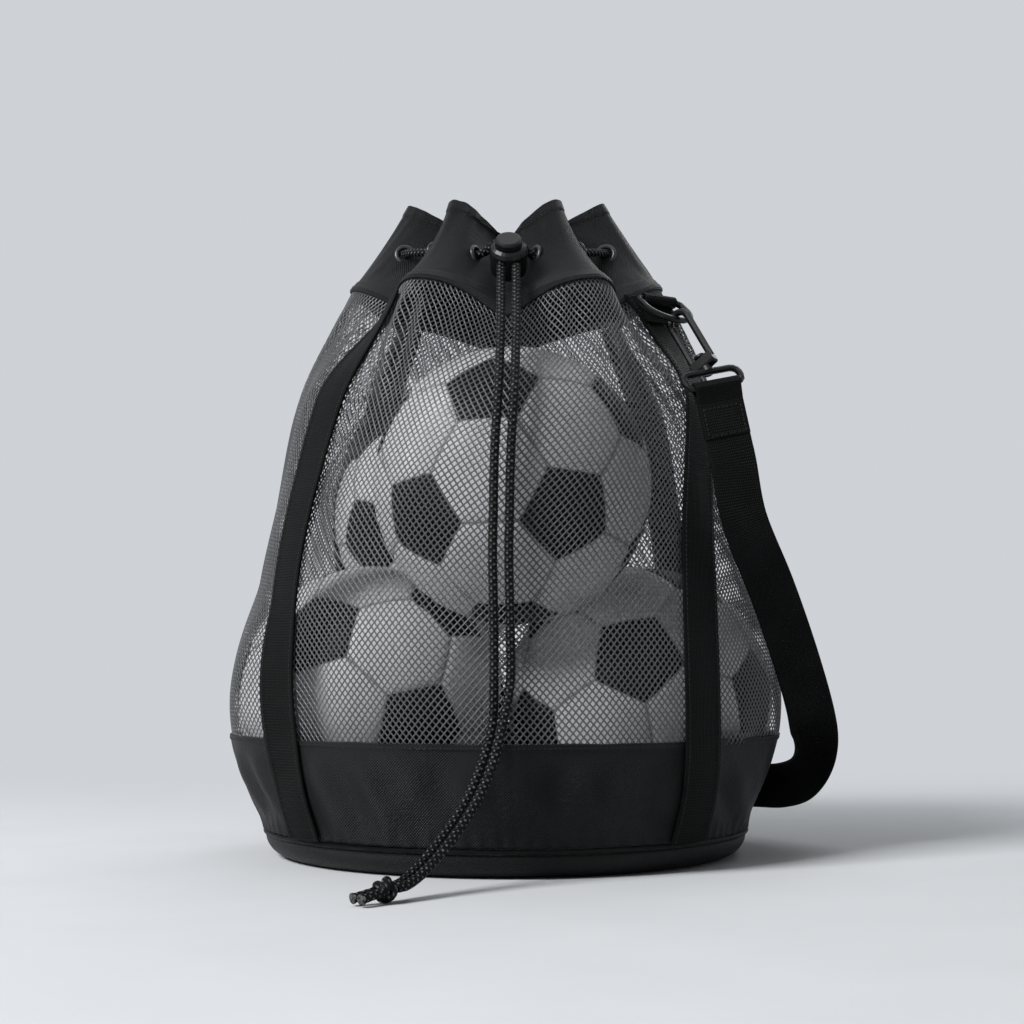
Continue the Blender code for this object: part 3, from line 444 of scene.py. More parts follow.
def mottled(name, low, high, patch, rough, vary=0.0, bump=None, grain=None, ends=(0.35, 0.7), **more):
    # colour and gloss follow broad patches, relief follows the grain or else the patches
    b = newBoard(name)
    spot = b.spot()
    cloud = b.noise(spot, *patch)
    sockets = {"Base Color": b.ramp(cloud, low, high, ends), "Roughness": cloud * vary + rough}
    if bump:
        sockets["Normal"] = b.bump(b.noise(spot, *grain) if grain else cloud, *bump)
    return b.wear({**sockets, **more})


nylon, netStrand, webbing = nylonFinish(), netFinish(), webFinish()
braid, cutBraid = cordFinish("braidedCord"), cordFinish("cutCord", tip=0.0185)
plastic = mottled("mouldedPlastic", (0.0022, 0.0024, 0.0026), (0.0055, 0.0058, 0.0062), (55.0, 3.0), 0.24, 0.2,
                  (0.00006, 0.5), (900.0, 2.0), **{"Specular IOR Level": 0.28})
foam = mottled("closedFoam", (0.030, 0.030, 0.032), (0.065, 0.065, 0.068), (700.0, 3.0), 0.92,
               bump=(0.0006, 0.7), ends=(0.3, 0.7))
thread = mottled("sewingThread", (0.008, 0.008, 0.0085), (0.026, 0.0265, 0.0275), (1800.0, 2.0), 0.55,
                 ends=(0.3, 0.7), **{"Specular IOR Level": 0.2})
eyeletPaint = mottled("paintedEyelet", (0.010, 0.010, 0.011), (0.022, 0.022, 0.024), (240.0, 3.0), 0.26, 0.15,
                      (0.00003, 0.5))
springSteel = mottled("springSteel", (0.46, 0.46, 0.48), (0.60, 0.60, 0.62), (240.0, 3.0), 0.22, 0.15,
                      (0.00003, 0.5), Metallic=1.0)
paleCover = coverFinish("paleCover", (0.86, 0.868, 0.88), (0.90, 0.905, 0.912), 0.30)
darkCover = coverFinish("darkCover", (0.0025, 0.0025, 0.003), (0.006, 0.006, 0.007), 0.45)
print("materials made")

# the bag's own measures, as in the part: balls two and two, cloth drawn over them
ballSet = {"radius": 0.108, "shown": 0.107, "lowerY": -0.014, "yaw": 3.2, "frontX": 0.005, "frontY": -0.096,
           "backShift": -0.050, "frontSettle": 0.0024, "backSettle": 0.0014, "floor": 0.1231, "loose": 0.0004}
reach = 2 * ballSet["radius"] + ballSet["loose"]
yaw = math.radians(ballSet["yaw"])
between = np.array([0.0, ballSet["lowerY"], ballSet["floor"]])
aside = 0.5 * reach * np.array([math.cos(yaw), math.sin(yaw), 0.0])
lowerLeft, lowerRight = between - aside, between + aside


def restingOn(x, y, settle):  # height at which a ball touches the nearer of the lower pair
    tops = [p[2] + math.sqrt(max((reach - settle) ** 2 - (x - p[0]) ** 2 - (y - p[1]) ** 2, 0.0))
            for p in (lowerLeft, lowerRight)]
    return max(tops)


upperFront = np.array([ballSet["frontX"], ballSet["frontY"], 0.0])
upperFront[2] = restingOn(upperFront[0], upperFront[1], ballSet["frontSettle"])
upperBack = upperFront + (ballSet["backShift"], math.sqrt(reach ** 2 - ballSet["backShift"] ** 2), 0)
upperBack[2] = restingOn(upperBack[0], upperBack[1], ballSet["backSettle"])
stackTop = upperFront[2] + ballSet["radius"]

bagSet = {"footZ": 0.0225, "bandTop": 0.096, "rim": 0.195, "bandMid": 0.205, "band": 0.208, "hip": 0.203,
          "waist": 0.187, "shoulder": 0.168, "neck": 0.146, "seam": 0.134, "valleyRise": 0.030,
          "ridgeRise": 0.050, "sideLift": 0.016, "foldBelow": 0.045, "foldDepth": 0.036, "toCloth": 0.0042,
          "blend": 0.030, "shoulderDrop": 0.024, "neckRise": 0.025, "topRise": 0.01, "topIn": 0.013,
          "soft": 0.012}
ridges = np.radians((-150, -90, -31, 31, 84, 148))
valleys = np.radians((-180, -120, -52, 0, 53, 116, 180))
marks = np.sort(np.concatenate((ridges, valleys)))
phases = np.arange(-1.0, len(marks) - 1.0)


def foldWave(phi):  # 1 on a ridge of the gathered mouth, near 0 in a fold, half a cosine turn between them
    phi = (np.asarray(phi, float) + math.pi) % (2 * math.pi) - math.pi
    turn = np.interp(phi, marks, phases)
    soft = bagSet["soft"]
    return np.sqrt(np.cos(0.5 * math.pi * turn) ** 2 + soft) / math.sqrt(1 + soft)


def clothProfile(z):  # the slack cloth's radius by height
    b = bagSet
    knots = (b["footZ"], 0.5 * (b["footZ"] + b["bandTop"]), b["bandTop"], 0.5 * (b["bandTop"] + upperFront[2]),
             upperFront[2], stackTop - b["shoulderDrop"], stackTop + b["neckRise"], stackTop + b["ridgeRise"],
             stackTop + b["ridgeRise"] + b["sideLift"] + b["topRise"])
    radii = (b["rim"], b["bandMid"], b["band"], b["hip"], b["waist"], b["shoulder"], b["neck"], b["seam"],
             b["seam"] - b["topIn"])
    return smoothThrough(knots, radii, z)


def ballHull(phi, z):  # flat outline stretched round the slices of the balls at each height
    turn = np.linspace(-math.pi, math.pi, 181)[:-1]
    out = ballSet["radius"] + bagSet["toCloth"]
    support = np.full(z.shape + (len(turn),), -1.0)
    for c in (lowerLeft, lowerRight, upperFront, upperBack):
        rise = z - c[2]
        cut = np.sqrt(np.maximum(out ** 2 - rise ** 2, 0))
        value = (c[0] * np.sin(turn) - c[1] * np.cos(turn)) + cut[..., None]
        support = np.where((np.abs(rise) < out)[..., None], np.maximum(support, value), support)
    facing = np.cos(phi[..., None] - turn)
    return np.where(facing > 0.15, np.maximum(support, 0.0) / np.maximum(facing, 0.15), 9.0).min(axis=-1)


def skinRadius(phi, z):  # slack cloth with its folds, blended into the stretched outline
    b = bagSet
    start = stackTop - b["foldBelow"]
    depth = b["foldDepth"] * smoothStep((z - start) / (stackTop + b["ridgeRise"] - start))
    cloth = clothProfile(z) - depth * (1.0 - foldWave(phi))
    hull = ballHull(phi, z)
    near = np.maximum(b["blend"] - np.abs(cloth - hull), 0.0)
    return np.maximum(cloth, hull) + near * near / (4.0 * b["blend"])


tableSet = {"turns": 720, "levels": 235, "low": 0.015, "high": 0.485}
tablePhi = np.linspace(-math.pi, math.pi, tableSet["turns"] + 1)
tableZ = np.linspace(tableSet["low"], tableSet["high"], tableSet["levels"] + 1)
skinTable = np.stack([skinRadius(tablePhi, np.full(len(tablePhi), z)) for z in tableZ])


def bagRadius(phi, z):  # the skin's radius read back from the table, straight-line between its points
    phi, z = np.broadcast_arrays(np.asarray(phi, float), np.asarray(z, float))
    turns, levels = tableSet["turns"], tableSet["levels"]
    u = ((phi + math.pi) % (2 * math.pi)) / (2 * math.pi) * turns
    v = np.clip((z - tableZ[0]) / (tableZ[-1] - tableZ[0]) * levels, 0, levels - 0.001)
    i, j = np.minimum(u.astype(int), turns - 1), v.astype(int)
    a, c = u - i, v - j
    return ((skinTable[j, i] * (1 - a) + skinTable[j, i + 1] * a) * (1 - c)
            + (skinTable[j + 1, i] * (1 - a) + skinTable[j + 1, i + 1] * a) * c)


def place(phi, radius, z):  # azimuth 0 looks at the camera
    return joined(radius * np.sin(phi), -radius * np.cos(phi), z)


def seamHeight(phi):  # where net meets collar: lower in the folds, higher at the sides
    rise = bagSet["valleyRise"] + (bagSet["ridgeRise"] - bagSet["valleyRise"]) * foldWave(phi)
    return stackTop + rise + bagSet["sideLift"] * np.sin(phi) ** 2


def outward(surface, a, b, da, db):  # unit normal of a surface given by two numbers, across and up
    across = surface(a + da, b) - surface(a - da, b)
    upward = surface(a, b + db) - surface(a, b - db)
    return unit(np.cross(across, upward))


def bagPoint(phi, z):
    return place(phi, bagRadius(phi, z), z)


print("bag skin worked out, stack top", round(float(stackTop), 4))

# drawcord, lock and tails: the cord leaves the lock as two tails that end in one knot on the floor
cordSet = {"radius": 0.0033, "ring": 0.088, "spread": 0.0057, "rise": 0.074, "lockX": 0.0023, "lockY": -0.1121,
           "tilt": 47.0, "drop": 0.0060, "turnIn": 0.016, "straight": 0.088, "knot": 0.0085,
           "knotPlace": (-0.0765, -0.3050, 0.0091), "clear": 0.0003, "sides": 24, "rows": 930,
           "ringRows": 1100}
cordZ = stackTop + cordSet["rise"]
tilt = math.radians(cordSet["tilt"])
tiltAxis = np.array([0.0, -math.sin(tilt), math.cos(tilt)])
runOut = np.array([0.0, -math.cos(tilt), -math.sin(tilt)])
boreMid = np.array([cordSet["lockX"], cordSet["lockY"], cordZ - cordSet["drop"]])


def braidBump(run, turn):  # small swell where the slanted strands cross, in a staggered grid
    return 1.0 + 0.025 * np.sin(braidSet["strands"] * turn) * np.cos(braidSet["climb"] * run)


def cordPiece(node, tube, finish, closed=False, slot="cord"):
    uv = tubeUv(tube, closed)
    made = skinGrid(camel(node), tube, wrapCols=True, wrapRows=closed, uv=uv, poles=not closed)
    return fixed(wearing(made, finish), slot, node)


def cordEntry(side):
    return boreMid + np.array([side * cordSet["spread"], 0, 0]) - cordSet["turnIn"] * runOut


tailRoute = np.array((
    (0.0015, -0.201, 0.362), (0.0005, -0.212, 0.340), (-0.001, -0.217, 0.315), (-0.002, -0.218, 0.290),
    (-0.0025, -0.218, 0.260), (-0.003, -0.218, 0.230), (-0.0025, -0.218, 0.200), (-0.002, -0.218, 0.170),
    (-0.002, -0.219, 0.140), (-0.005, -0.221, 0.112), (-0.012, -0.228, 0.084), (-0.023, -0.239, 0.059),
    (-0.038, -0.256, 0.037), (-0.054, -0.276, 0.019), (-0.065, -0.291, 0.011)))
knotPlace = np.array(cordSet["knotPlace"])
tailRoute = np.vstack((tailRoute, knotPlace - unit(knotPlace - tailRoute[-1]) * (cordSet["knot"] - 0.002)))
tailWay = np.gradient(tailRoute, axis=0)
tailSide = joined(-tailWay[:, 1], tailWay[:, 0], 0.0)
tailSide = np.where(np.linalg.norm(tailSide, axis=1, keepdims=True) > 0.004, tailSide, np.array([1.0, 0, 0]))
tailSide = unit(tailSide) * np.where(tailSide[:, :1] < 0, -1, 1)
closing = np.interp(np.arange(16), (8, 15), (cordSet["spread"], cordSet["radius"] + cordSet["clear"]))
bothSides = ((-1, "left"), (1, "right"))
tails = {}
for side, word in bothSides:
    reachOut = np.linspace(cordSet["clear"], cordSet["turnIn"] + cordSet["straight"], 6)[:, None]
    straight = cordEntry(side) + runOut * reachOut
    route = np.concatenate((straight, tailRoute + side * closing[:, None] * tailSide))
    line = splineLine(route, cordSet["rows"])
    tube = capped(tubeGrid(line, cordSet["radius"], cordSet["sides"], (1, 0, 0), braidBump))
    tails[word] = (cordPiece("cord_tail_" + word, tube, braid), line)

# overhand knot: a trefoil line wound round the cord's way, (2 + cos 3t)(cos 2t, sin 2t) across and sin 3t along
knotSet = {"size": 0.00175, "long": 1.9, "tube": 0.0034, "sides": 20, "endWay": (-0.017, -0.015, -0.0042)}
endWay = unit(knotSet["endWay"])
endSide = unit(np.cross(endWay, (0, 0, 1)))
t = roundTurn(240)[:, None]
trefoil = ((2 + np.cos(3 * t)) * (np.cos(2 * t) * endSide + np.sin(2 * t) * np.cross(endSide, endWay))
           + knotSet["long"] * np.sin(3 * t) * endWay)
knotLine = knotPlace + knotSet["size"] * trefoil
knotTube = closedTube(knotLine, knotSet["tube"], knotSet["sides"], endWay, braidBump)
knot = cordPiece("cord_knot", knotTube, braid, closed=True)
endSet = {"start": -0.006, "stop": 0.0143, "apart": 0.09, "slim": 0.92, "swell": 0.18, "swellAt": 0.011,
          "swellLong": 0.003}
ends = []
for side, word in bothSides:
    s = np.linspace(endSet["start"], endSet["stop"], 40)[:, None]
    aside = cordSet["radius"] + endSet["apart"] * np.maximum(s, 0)
    line = knotPlace + endWay * (cordSet["knot"] + s) + endSide * side * aside
    frayed = smoothStep((s[:, 0] - endSet["swellAt"]) / endSet["swellLong"])
    swell = 1.0 + endSet["swell"] * frayed
    tube = tubeGrid(line, cordSet["radius"] * endSet["slim"] * swell, cordSet["sides"], (0, 0, 1), braidBump)
    ends.append(cordPiece("cord_end_" + word, capped(tube), cutBraid))
for word, mates in (("left", [knot, *ends]), ("right", [])):
    obj, line = tails[word]
    line[::9].tolist() + [line[-1].tolist()]
print("cord tails", round(float(lineLength(tails["left"][1])[-1]), 3), "m each")

# drawcord once round the mouth
collarSet = {"height": 0.068, "level": 0.42, "midRidge": 0.108, "midValley": 0.046, "topRidge": 0.080,
             "topValley": 0.032, "topDip": 0.029, "cloth": 0.002, "overlap": 0.004, "frontDip": 0.009,
             "dipHalf": 0.20}
ringShare = (cordSet["ring"] - collarSet["midValley"]) / (collarSet["midRidge"] - collarSet["midValley"])
fine = np.linspace(-math.pi, math.pi, 20001)
over = foldWave(fine) - ringShare
crossAt = np.flatnonzero(over[:-1] * over[1:] < 0)
crossings = 0.5 * (fine[crossAt] + fine[crossAt + 1])


def ringPoint(phi):
    return place(phi, cordSet["ring"], cordZ + bagSet["sideLift"] * np.sin(phi) ** 2)


def hermite(p, q, d, e, count):  # cubic from p leaving along d to q arriving along e
    s = np.linspace(0, 1, count)[:, None]
    return (1 + 2 * s) * (1 - s) ** 2 * p + s * (1 - s) ** 2 * d + s * s * (3 - 2 * s) * q + s * s * (s - 1) * e


frontLeft, frontRight = crossings[crossings < 0].max(), crossings[crossings > 0].min()
turnSet = {"ahead": 0.004, "leave": 0.026, "arrive": 0.022}
turns = []
for side, at in ((-1, frontLeft), (1, frontRight)):  # from the ring round into the lock's bores
    way = -side * np.array([math.cos(at), math.sin(at), 0])
    goal = cordEntry(side) - turnSet["ahead"] * runOut
    turns.append(hermite(ringPoint(at), goal, turnSet["leave"] * way, turnSet["arrive"] * runOut, 7))
circle = np.linspace(frontRight, frontLeft + 2 * math.pi, 33)[1:-1]
route = np.concatenate(([cordEntry(1)], turns[1][::-1], ringPoint(circle), turns[0], [cordEntry(-1)]))
drawLine = splineLine(route, cordSet["ringRows"])
drawTube = capped(tubeGrid(drawLine, cordSet["radius"], cordSet["sides"], (0, 0.35, 1), braidBump))
drawCord = cordPiece("draw_cord", drawTube, braid)
print("drawcord made")


# stitched football: every panel is a fan of triangles pushed out to the ball, sunk at its seams and painted
# darker along them as shade
# dark and line: strength and width of the painted shade along the seams
seamSet = {"crowd": 1.8, "panel": 0.30, "deep": 0.011, "wide": 0.022, "dark": 0.85, "line": 0.007, "fineness": 10}


def ballPanels(fineness):
    g = (1 + math.sqrt(5)) / 2
    corner = np.array([(0, a, b * g) for a in (-1, 1) for b in (-1, 1)])
    corner = unit(np.concatenate((corner, np.roll(corner, 1, axis=1), np.roll(corner, 2, axis=1))))
    close = np.abs(corner @ corner.T - 1 / math.sqrt(5)) < 0.01
    fans = [(corner[i], (2 * corner[i] + corner[close[i]]) / 3) for i in range(12)]  # five sides, at the corners
    for i, j, k in combinations(range(12), 3):  # six sides, on the faces
        if close[i, j] and close[j, k] and close[i, k]:
            rim = [(2 * corner[a] + corner[b]) / 3 for a, b in permutations((i, j, k), 2)]
            fans.append((corner[[i, j, k]].mean(axis=0), np.array(rim)))
    wedges, dark = [], []
    for middle, rim in fans:
        axis = unit(middle)
        e = squareTo(rim[0], axis)
        rim = rim[np.argsort(np.arctan2(rim @ np.cross(axis, e), rim @ e))]
        wedges += [(axis * (axis @ rim[0]), *pair) for pair in zip(rim, np.roll(rim, -1, axis=0))]
        dark += [len(rim) == 5] * len(rim)
    wedges = np.array(wedges)
    i, j = np.meshgrid(np.arange(fineness + 1), np.arange(fineness + 1), indexing="ij")
    keep = i + j <= fineness
    i, j = i[keep], j[keep]
    weight = joined(fineness - i - j, i, j) / fineness
    inward = weight[:, 0] ** seamSet["crowd"]  # rows drawn close to the seam
    weight[:, 1:] *= ((1 - inward) / np.maximum(1 - weight[:, 0], 1e-9))[:, None]
    weight[:, 0] = inward
    spots = unit(np.einsum("pk,wkx->wpx", weight, wedges))
    number = -np.ones((fineness + 2, fineness + 2), int)
    number[i, j] = np.arange(len(i))
    small = np.concatenate((joined(number[i, j], number[i + 1, j], number[i, j + 1]),
                            joined(number[i + 1, j], number[i + 1, j + 1], number[i, j + 1])))
    small = small[(small >= 0).all(axis=1)]
    off = weight[:, 0] * seamSet["panel"]  # rough distance from the seam, in ball radii
    sunk = 1.0 - seamSet["deep"] * np.exp(-(off / seamSet["wide"]) ** 2)
    # painted shade mask: strongest on the seam line, where the groove is deepest
    seam = seamSet["dark"] * np.exp(-(off / seamSet["line"]) ** 2)
    return corner, close, spots * sunk[None, :, None], small, np.array(dark), np.tile(seam, len(wedges))


corner, close, spots, small, dark, seam = ballPanels(seamSet["fineness"])
darkPair = corner[0], corner[close[0]][0]


def facing(a, b):  # frame of two neighbouring dark panels
    a, b = unit(a), unit(b)
    e, f = unit(a + b), unit(a - b)
    return joined(e, f, np.cross(e, f))


# two neighbouring dark panels of each ball, given as right, up and towards the camera
ballTurns = {"ball_lower_left": (lowerLeft, (-0.33, 0.50, 0.80), (0.40, -0.169, 0.90)),
             "ball_lower_right": (lowerRight, (-0.10, 0.323, 0.941), (-0.823, -0.246, 0.512)),
             "ball_upper_front": (upperFront, (-0.655, -0.303, 0.692), (0.401, -0.268, 0.876)),
             "ball_upper_back": (upperBack, (-0.70, -0.17, 0.69), (-0.70, 0.68, 0.20))}
for node, (centre, one, two) in ballTurns.items():
    turnTo = facing(*[(p[0], -p[2], p[1]) for p in (one, two)]) @ facing(*darkPair).T
    points = centre + ballSet["shown"] * (spots @ turnTo.T)
    per = spots.shape[1]
    faces = (small[None] + per * np.arange(len(spots))[:, None, None]).reshape(-1, 3)
    ball = wearing(putMesh(camel(node), points, [faces]), paleCover, darkCover)
    ball.data.polygons.foreach_set("material_index", np.repeat(dark.astype(np.int32), len(small)))
    # the painted seam shade is stored per point for the cover finishes
    ball.data.attributes.new("seam", "FLOAT", "POINT").data.foreach_set("value", seam)
    fixed(cleaned(ball, lambda bm: bmesh.ops.remove_doubles(bm, verts=bm.verts, dist=2e-6)), "ball_cover", node)
print("balls made")

# base: turned cloth panel, foam pad and piping
baseSet = {"thick": 0.0025, "flat": 0.172, "rim": 0.193, "rimZ": 0.0175, "piping": 0.0022, "girth": 1.26}
bend = baseSet["rim"] - baseSet["flat"]
a = np.linspace(0, math.pi / 2, 14)
t = baseSet["thick"]
outer = joined(baseSet["flat"] + bend * np.sin(a), baseSet["rimZ"] * (1 - np.cos(a)))
inner = joined(baseSet["flat"] + (bend - t) * np.sin(a), t + (baseSet["rimZ"] - t) * (1 - np.cos(a)))
flatRun = np.linspace(0, baseSet["flat"], 16)[:-1]
profile = np.concatenate((joined(flatRun, 0.0), outer, inner[::-1], joined(flatRun, t)[::-1]))
around = roundTurn(144)
basePoints = place(around[None, :], profile[:, :1], profile[:, 1:])
baseUv = joined(np.linspace(0, baseSet["girth"], 145)[None, :], lineLength(profile)[:, None])
base = wearing(skinGrid("basePanel", basePoints, wrapCols=True, uv=baseUv, poles=True), nylon)
fixed(base, "nylon_cloth", "base_panel")
padSet = {"radius": 0.158, "thick": 0.012, "round": 0.004, "gap": 0.0003, "dish": 0.0016}
a = np.linspace(-math.pi / 2, math.pi / 2, 12)
padFlat = padSet["radius"] - padSet["round"]
padEdge = joined(padSet["radius"] - padSet["round"] * (1 - np.cos(a)), 0.5 * padSet["thick"] * (1 + np.sin(a)))
padTop = np.linspace(padFlat, 0, 24)[1:]
padTop = joined(padTop, padSet["thick"] - padSet["dish"] * (1 - (padTop / padSet["radius"]) ** 2) ** 2)
padProfile = np.concatenate((joined(np.linspace(0, padFlat, 12)[:-1], 0.0), padEdge, padTop))
padPoints = place(around[None, :], padProfile[:, :1], padProfile[:, 1:] + t + padSet["gap"])
pad = outwardFaces(wearing(skinGrid("basePad", padPoints, wrapCols=True, poles=True), foam))
fixed(pad, "foam", "base_pad")
pipeLine = place(roundTurn(360), baseSet["rim"], baseSet["rimZ"] + padSet["gap"] + baseSet["piping"])
pipeTube = closedTube(pipeLine, baseSet["piping"], 12, (0, 0, 1))
piping = cordPiece("base_piping", pipeTube, nylon, closed=True, slot="nylon_cloth")

# lower band: the skin with slack creases, a folded hem at the top and a puckered foot
strapTurns = {"strap_front_left": (-49, -55, -45), "strap_front_right": (43, 47, 67),
              "strap_back_right": (131, 132, 133), "strap_back_left": (-138, -138, -138)}


def strapAzimuth(name, z):
    knots = (bagSet["footZ"], 0.5 * (bagSet["bandTop"] + stackTop), stackTop + bagSet["valleyRise"])
    return smoothThrough(knots, np.radians(strapTurns[name]), z)


bandSet = {"cols": 480, "hem": 0.005, "hemStep": 0.0012, "proud": 0.0007, "crease": 0.0013, "fall": 0.0019,
           "sink": 0.0010, "held": 0.027, "pucker": 0.0006, "puckerTall": 0.012, "thread": 0.0028,
           "cloth": 0.0016, "girth": 1.29, "fineFrom": 0.0135, "rowGap": 0.0007, "turnIn": 0.004}


def apart(phi, other):  # angle between two azimuths, the short way round
    return np.abs((phi - other + math.pi) % (2 * math.pi) - math.pi)


def bandPoint(phi, z):
    foot = z - bagSet["footZ"]
    slack = np.sin(math.pi * np.clip(foot / (bagSet["bandTop"] - bagSet["footZ"]), 0, 1)) ** 0.7
    for name in strapTurns:  # held flat under the straps
        off = apart(phi, strapAzimuth(name, z)) * bagSet["band"]
        slack = slack * (1 - np.exp(-(off / bandSet["held"]) ** 4))
    crease = slack * (bandSet["fall"] * wrinkle(phi, z, 14, (9, 22), (-70, 70), 7)
                      + bandSet["crease"] * wrinkle(phi, z, 4, (14, 34), (-150, 150), 10) - bandSet["sink"])
    near = np.exp(-(foot / bandSet["puckerTall"]) ** 2)
    pucker = bandSet["pucker"] * np.sin(95 * phi + 3 * np.sin(7 * phi)) * near
    hem = bandSet["proud"] * smoothStep((z - bagSet["bandTop"] + bandSet["hem"]) / bandSet["hemStep"])
    return place(phi, bagRadius(phi, z) + crease + pucker + hem, z)


fineFrom = bagSet["bandTop"] - bandSet["fineFrom"]
height = np.concatenate((np.linspace(bagSet["footZ"], fineFrom, 30),
                         np.linspace(fineFrom + bandSet["rowGap"], bagSet["bandTop"], 20)))
uv = joined(np.linspace(0, bandSet["girth"], bandSet["cols"] + 1)[None, :], height[:, None])
bandPoints = bandPoint(roundTurn(bandSet["cols"])[None, :], height[:, None])
band = wearing(thicken(skinGrid("lowerBand", bandPoints, wrapCols=True, uv=uv), bandSet["cloth"]), nylon)
fixed(band, "nylon_cloth", "lower_band")
ringPhi = np.linspace(-math.pi, math.pi, 1201)
hemLine = bandPoint(ringPhi, np.full(1201, bagSet["bandTop"] - bandSet["thread"]))
stitchRows("bandThreads", [(hemLine, place(ringPhi, 1.0, 0.0))], "nylon_cloth")
print("base and band made")


# webbing runs: a flat closed section carried along a strip of surface, with cross ribs
across = np.array((-1, -0.94, -0.65, -0.33, 0, 0.33, 0.65, 0.94, 1)) * 0.985
section = np.concatenate((joined(across, 1.0), [(1.0, 0.72), (1.0, 0.28)], joined(across[::-1], 0.0),
                          [(-1.0, 0.28), (-1.0, 0.72)]))  # once round: share across, share of the thickness
webSet = {"half": 0.019, "thick": 0.0018, "rib": 0.0021, "ribHigh": 0.00030, "lift": 0.0019, "rows": 6,
          "onTop": 0.0001}


def ribSteps(length):  # even places along a strap, the same number of rows on every rib
    return np.linspace(0, length, webSet["rows"] * round(length / webSet["rib"]) + 1)


def webMesh(name, surface, normal, run, half=webSet["half"]):
    # rows run along the strap, columns round its section
    rib = webSet["ribHigh"] * np.abs(np.sin(math.pi * np.arange(len(run)) / webSet["rows"]))[:, None]
    swing = np.where(section[:, 1] > 0.5, rib - webSet["ribHigh"], -rib + webSet["ribHigh"])
    edge = np.abs(section[:, 0]) > 0.9
    points = surface + normal * (section[:, 1] * webSet["thick"] + np.where(edge, 0.0, swing))[..., None]
    uv = joined((np.append(section[:, 0], section[0, 0]) * half)[None, :], run[:, None])
    uv = np.concatenate((uv[:1], uv, uv[-1:]))
    obj = outwardFaces(skinGrid(name, capped(points), wrapCols=True, uv=uv, poles=True))
    wearing(obj, webbing)
    return obj


def ribbon(name, line, edge, half=webSet["half"]):  # webbing along a line, its width lying along the edge's way
    run = lineLength(line)
    even = ribSteps(run[-1])
    line, edge = along(line, run, even), along(edge, run, even)
    way = unit(np.gradient(line, axis=0))
    edge = unit(edge - way * (edge * way).sum(axis=1, keepdims=True))
    flat = np.cross(edge, way)[:, None]
    surface = line[:, None] + edge[:, None] * (section[:, 0] * half)[:, None] - 0.5 * webSet["thick"] * flat
    return webMesh(name, surface, flat, even, half), float(run[-1])


edgeRows = []
for name in strapTurns:
    spread = np.array([-1, 0, 1]) * webSet["half"] / bagSet["neck"]
    top = seamHeight(strapAzimuth(name, stackTop + bagSet["ridgeRise"]) + spread).min() - 0.002
    z = np.linspace(bagSet["footZ"], top, 1100)
    run = lineLength(bagPoint(strapAzimuth(name, z), z))
    even = ribSteps(run[-1])
    z = np.interp(even, run, z)[:, None]
    mid = strapAzimuth(name, z)
    phi = mid + section[:, 0] * webSet["half"] / bagRadius(mid, z)
    normal = outward(bagPoint, phi, z, 0.0075, 0.0015)
    surface = bagPoint(phi, z) + normal * webSet["lift"]
    strap = fixed(webMesh(camel(name), surface, normal, even), None, name)
    for k, j in ((1, 2), (7, 6)):
        sewn = 0.7 * surface[:, k] + 0.3 * surface[:, j] + normal[:, k] * (webSet["thick"] + webSet["onTop"])
        edgeRows.append((sewn, normal[:, k]))
stitchRows("strapThreads", edgeRows, "webbing")
print("straps made")

# net: diamond cells, each four knots on the strands' middle lines round a hole of eight points
netSet = {"wide": 0.0053, "tall": 0.0063, "corner": 0.320, "side": 0.181, "strand": 0.00055, "sink": 0.0010,
          "below": 0.004, "above": 0.002, "pull": 0.0016, "slack": 0.0010, "midZ": 0.25, "midR": 0.203,
          "probe": 0.35, "gatherBelow": 0.07, "gatherTall": 0.09, "hemClear": 0.013, "hemEase": 0.012}


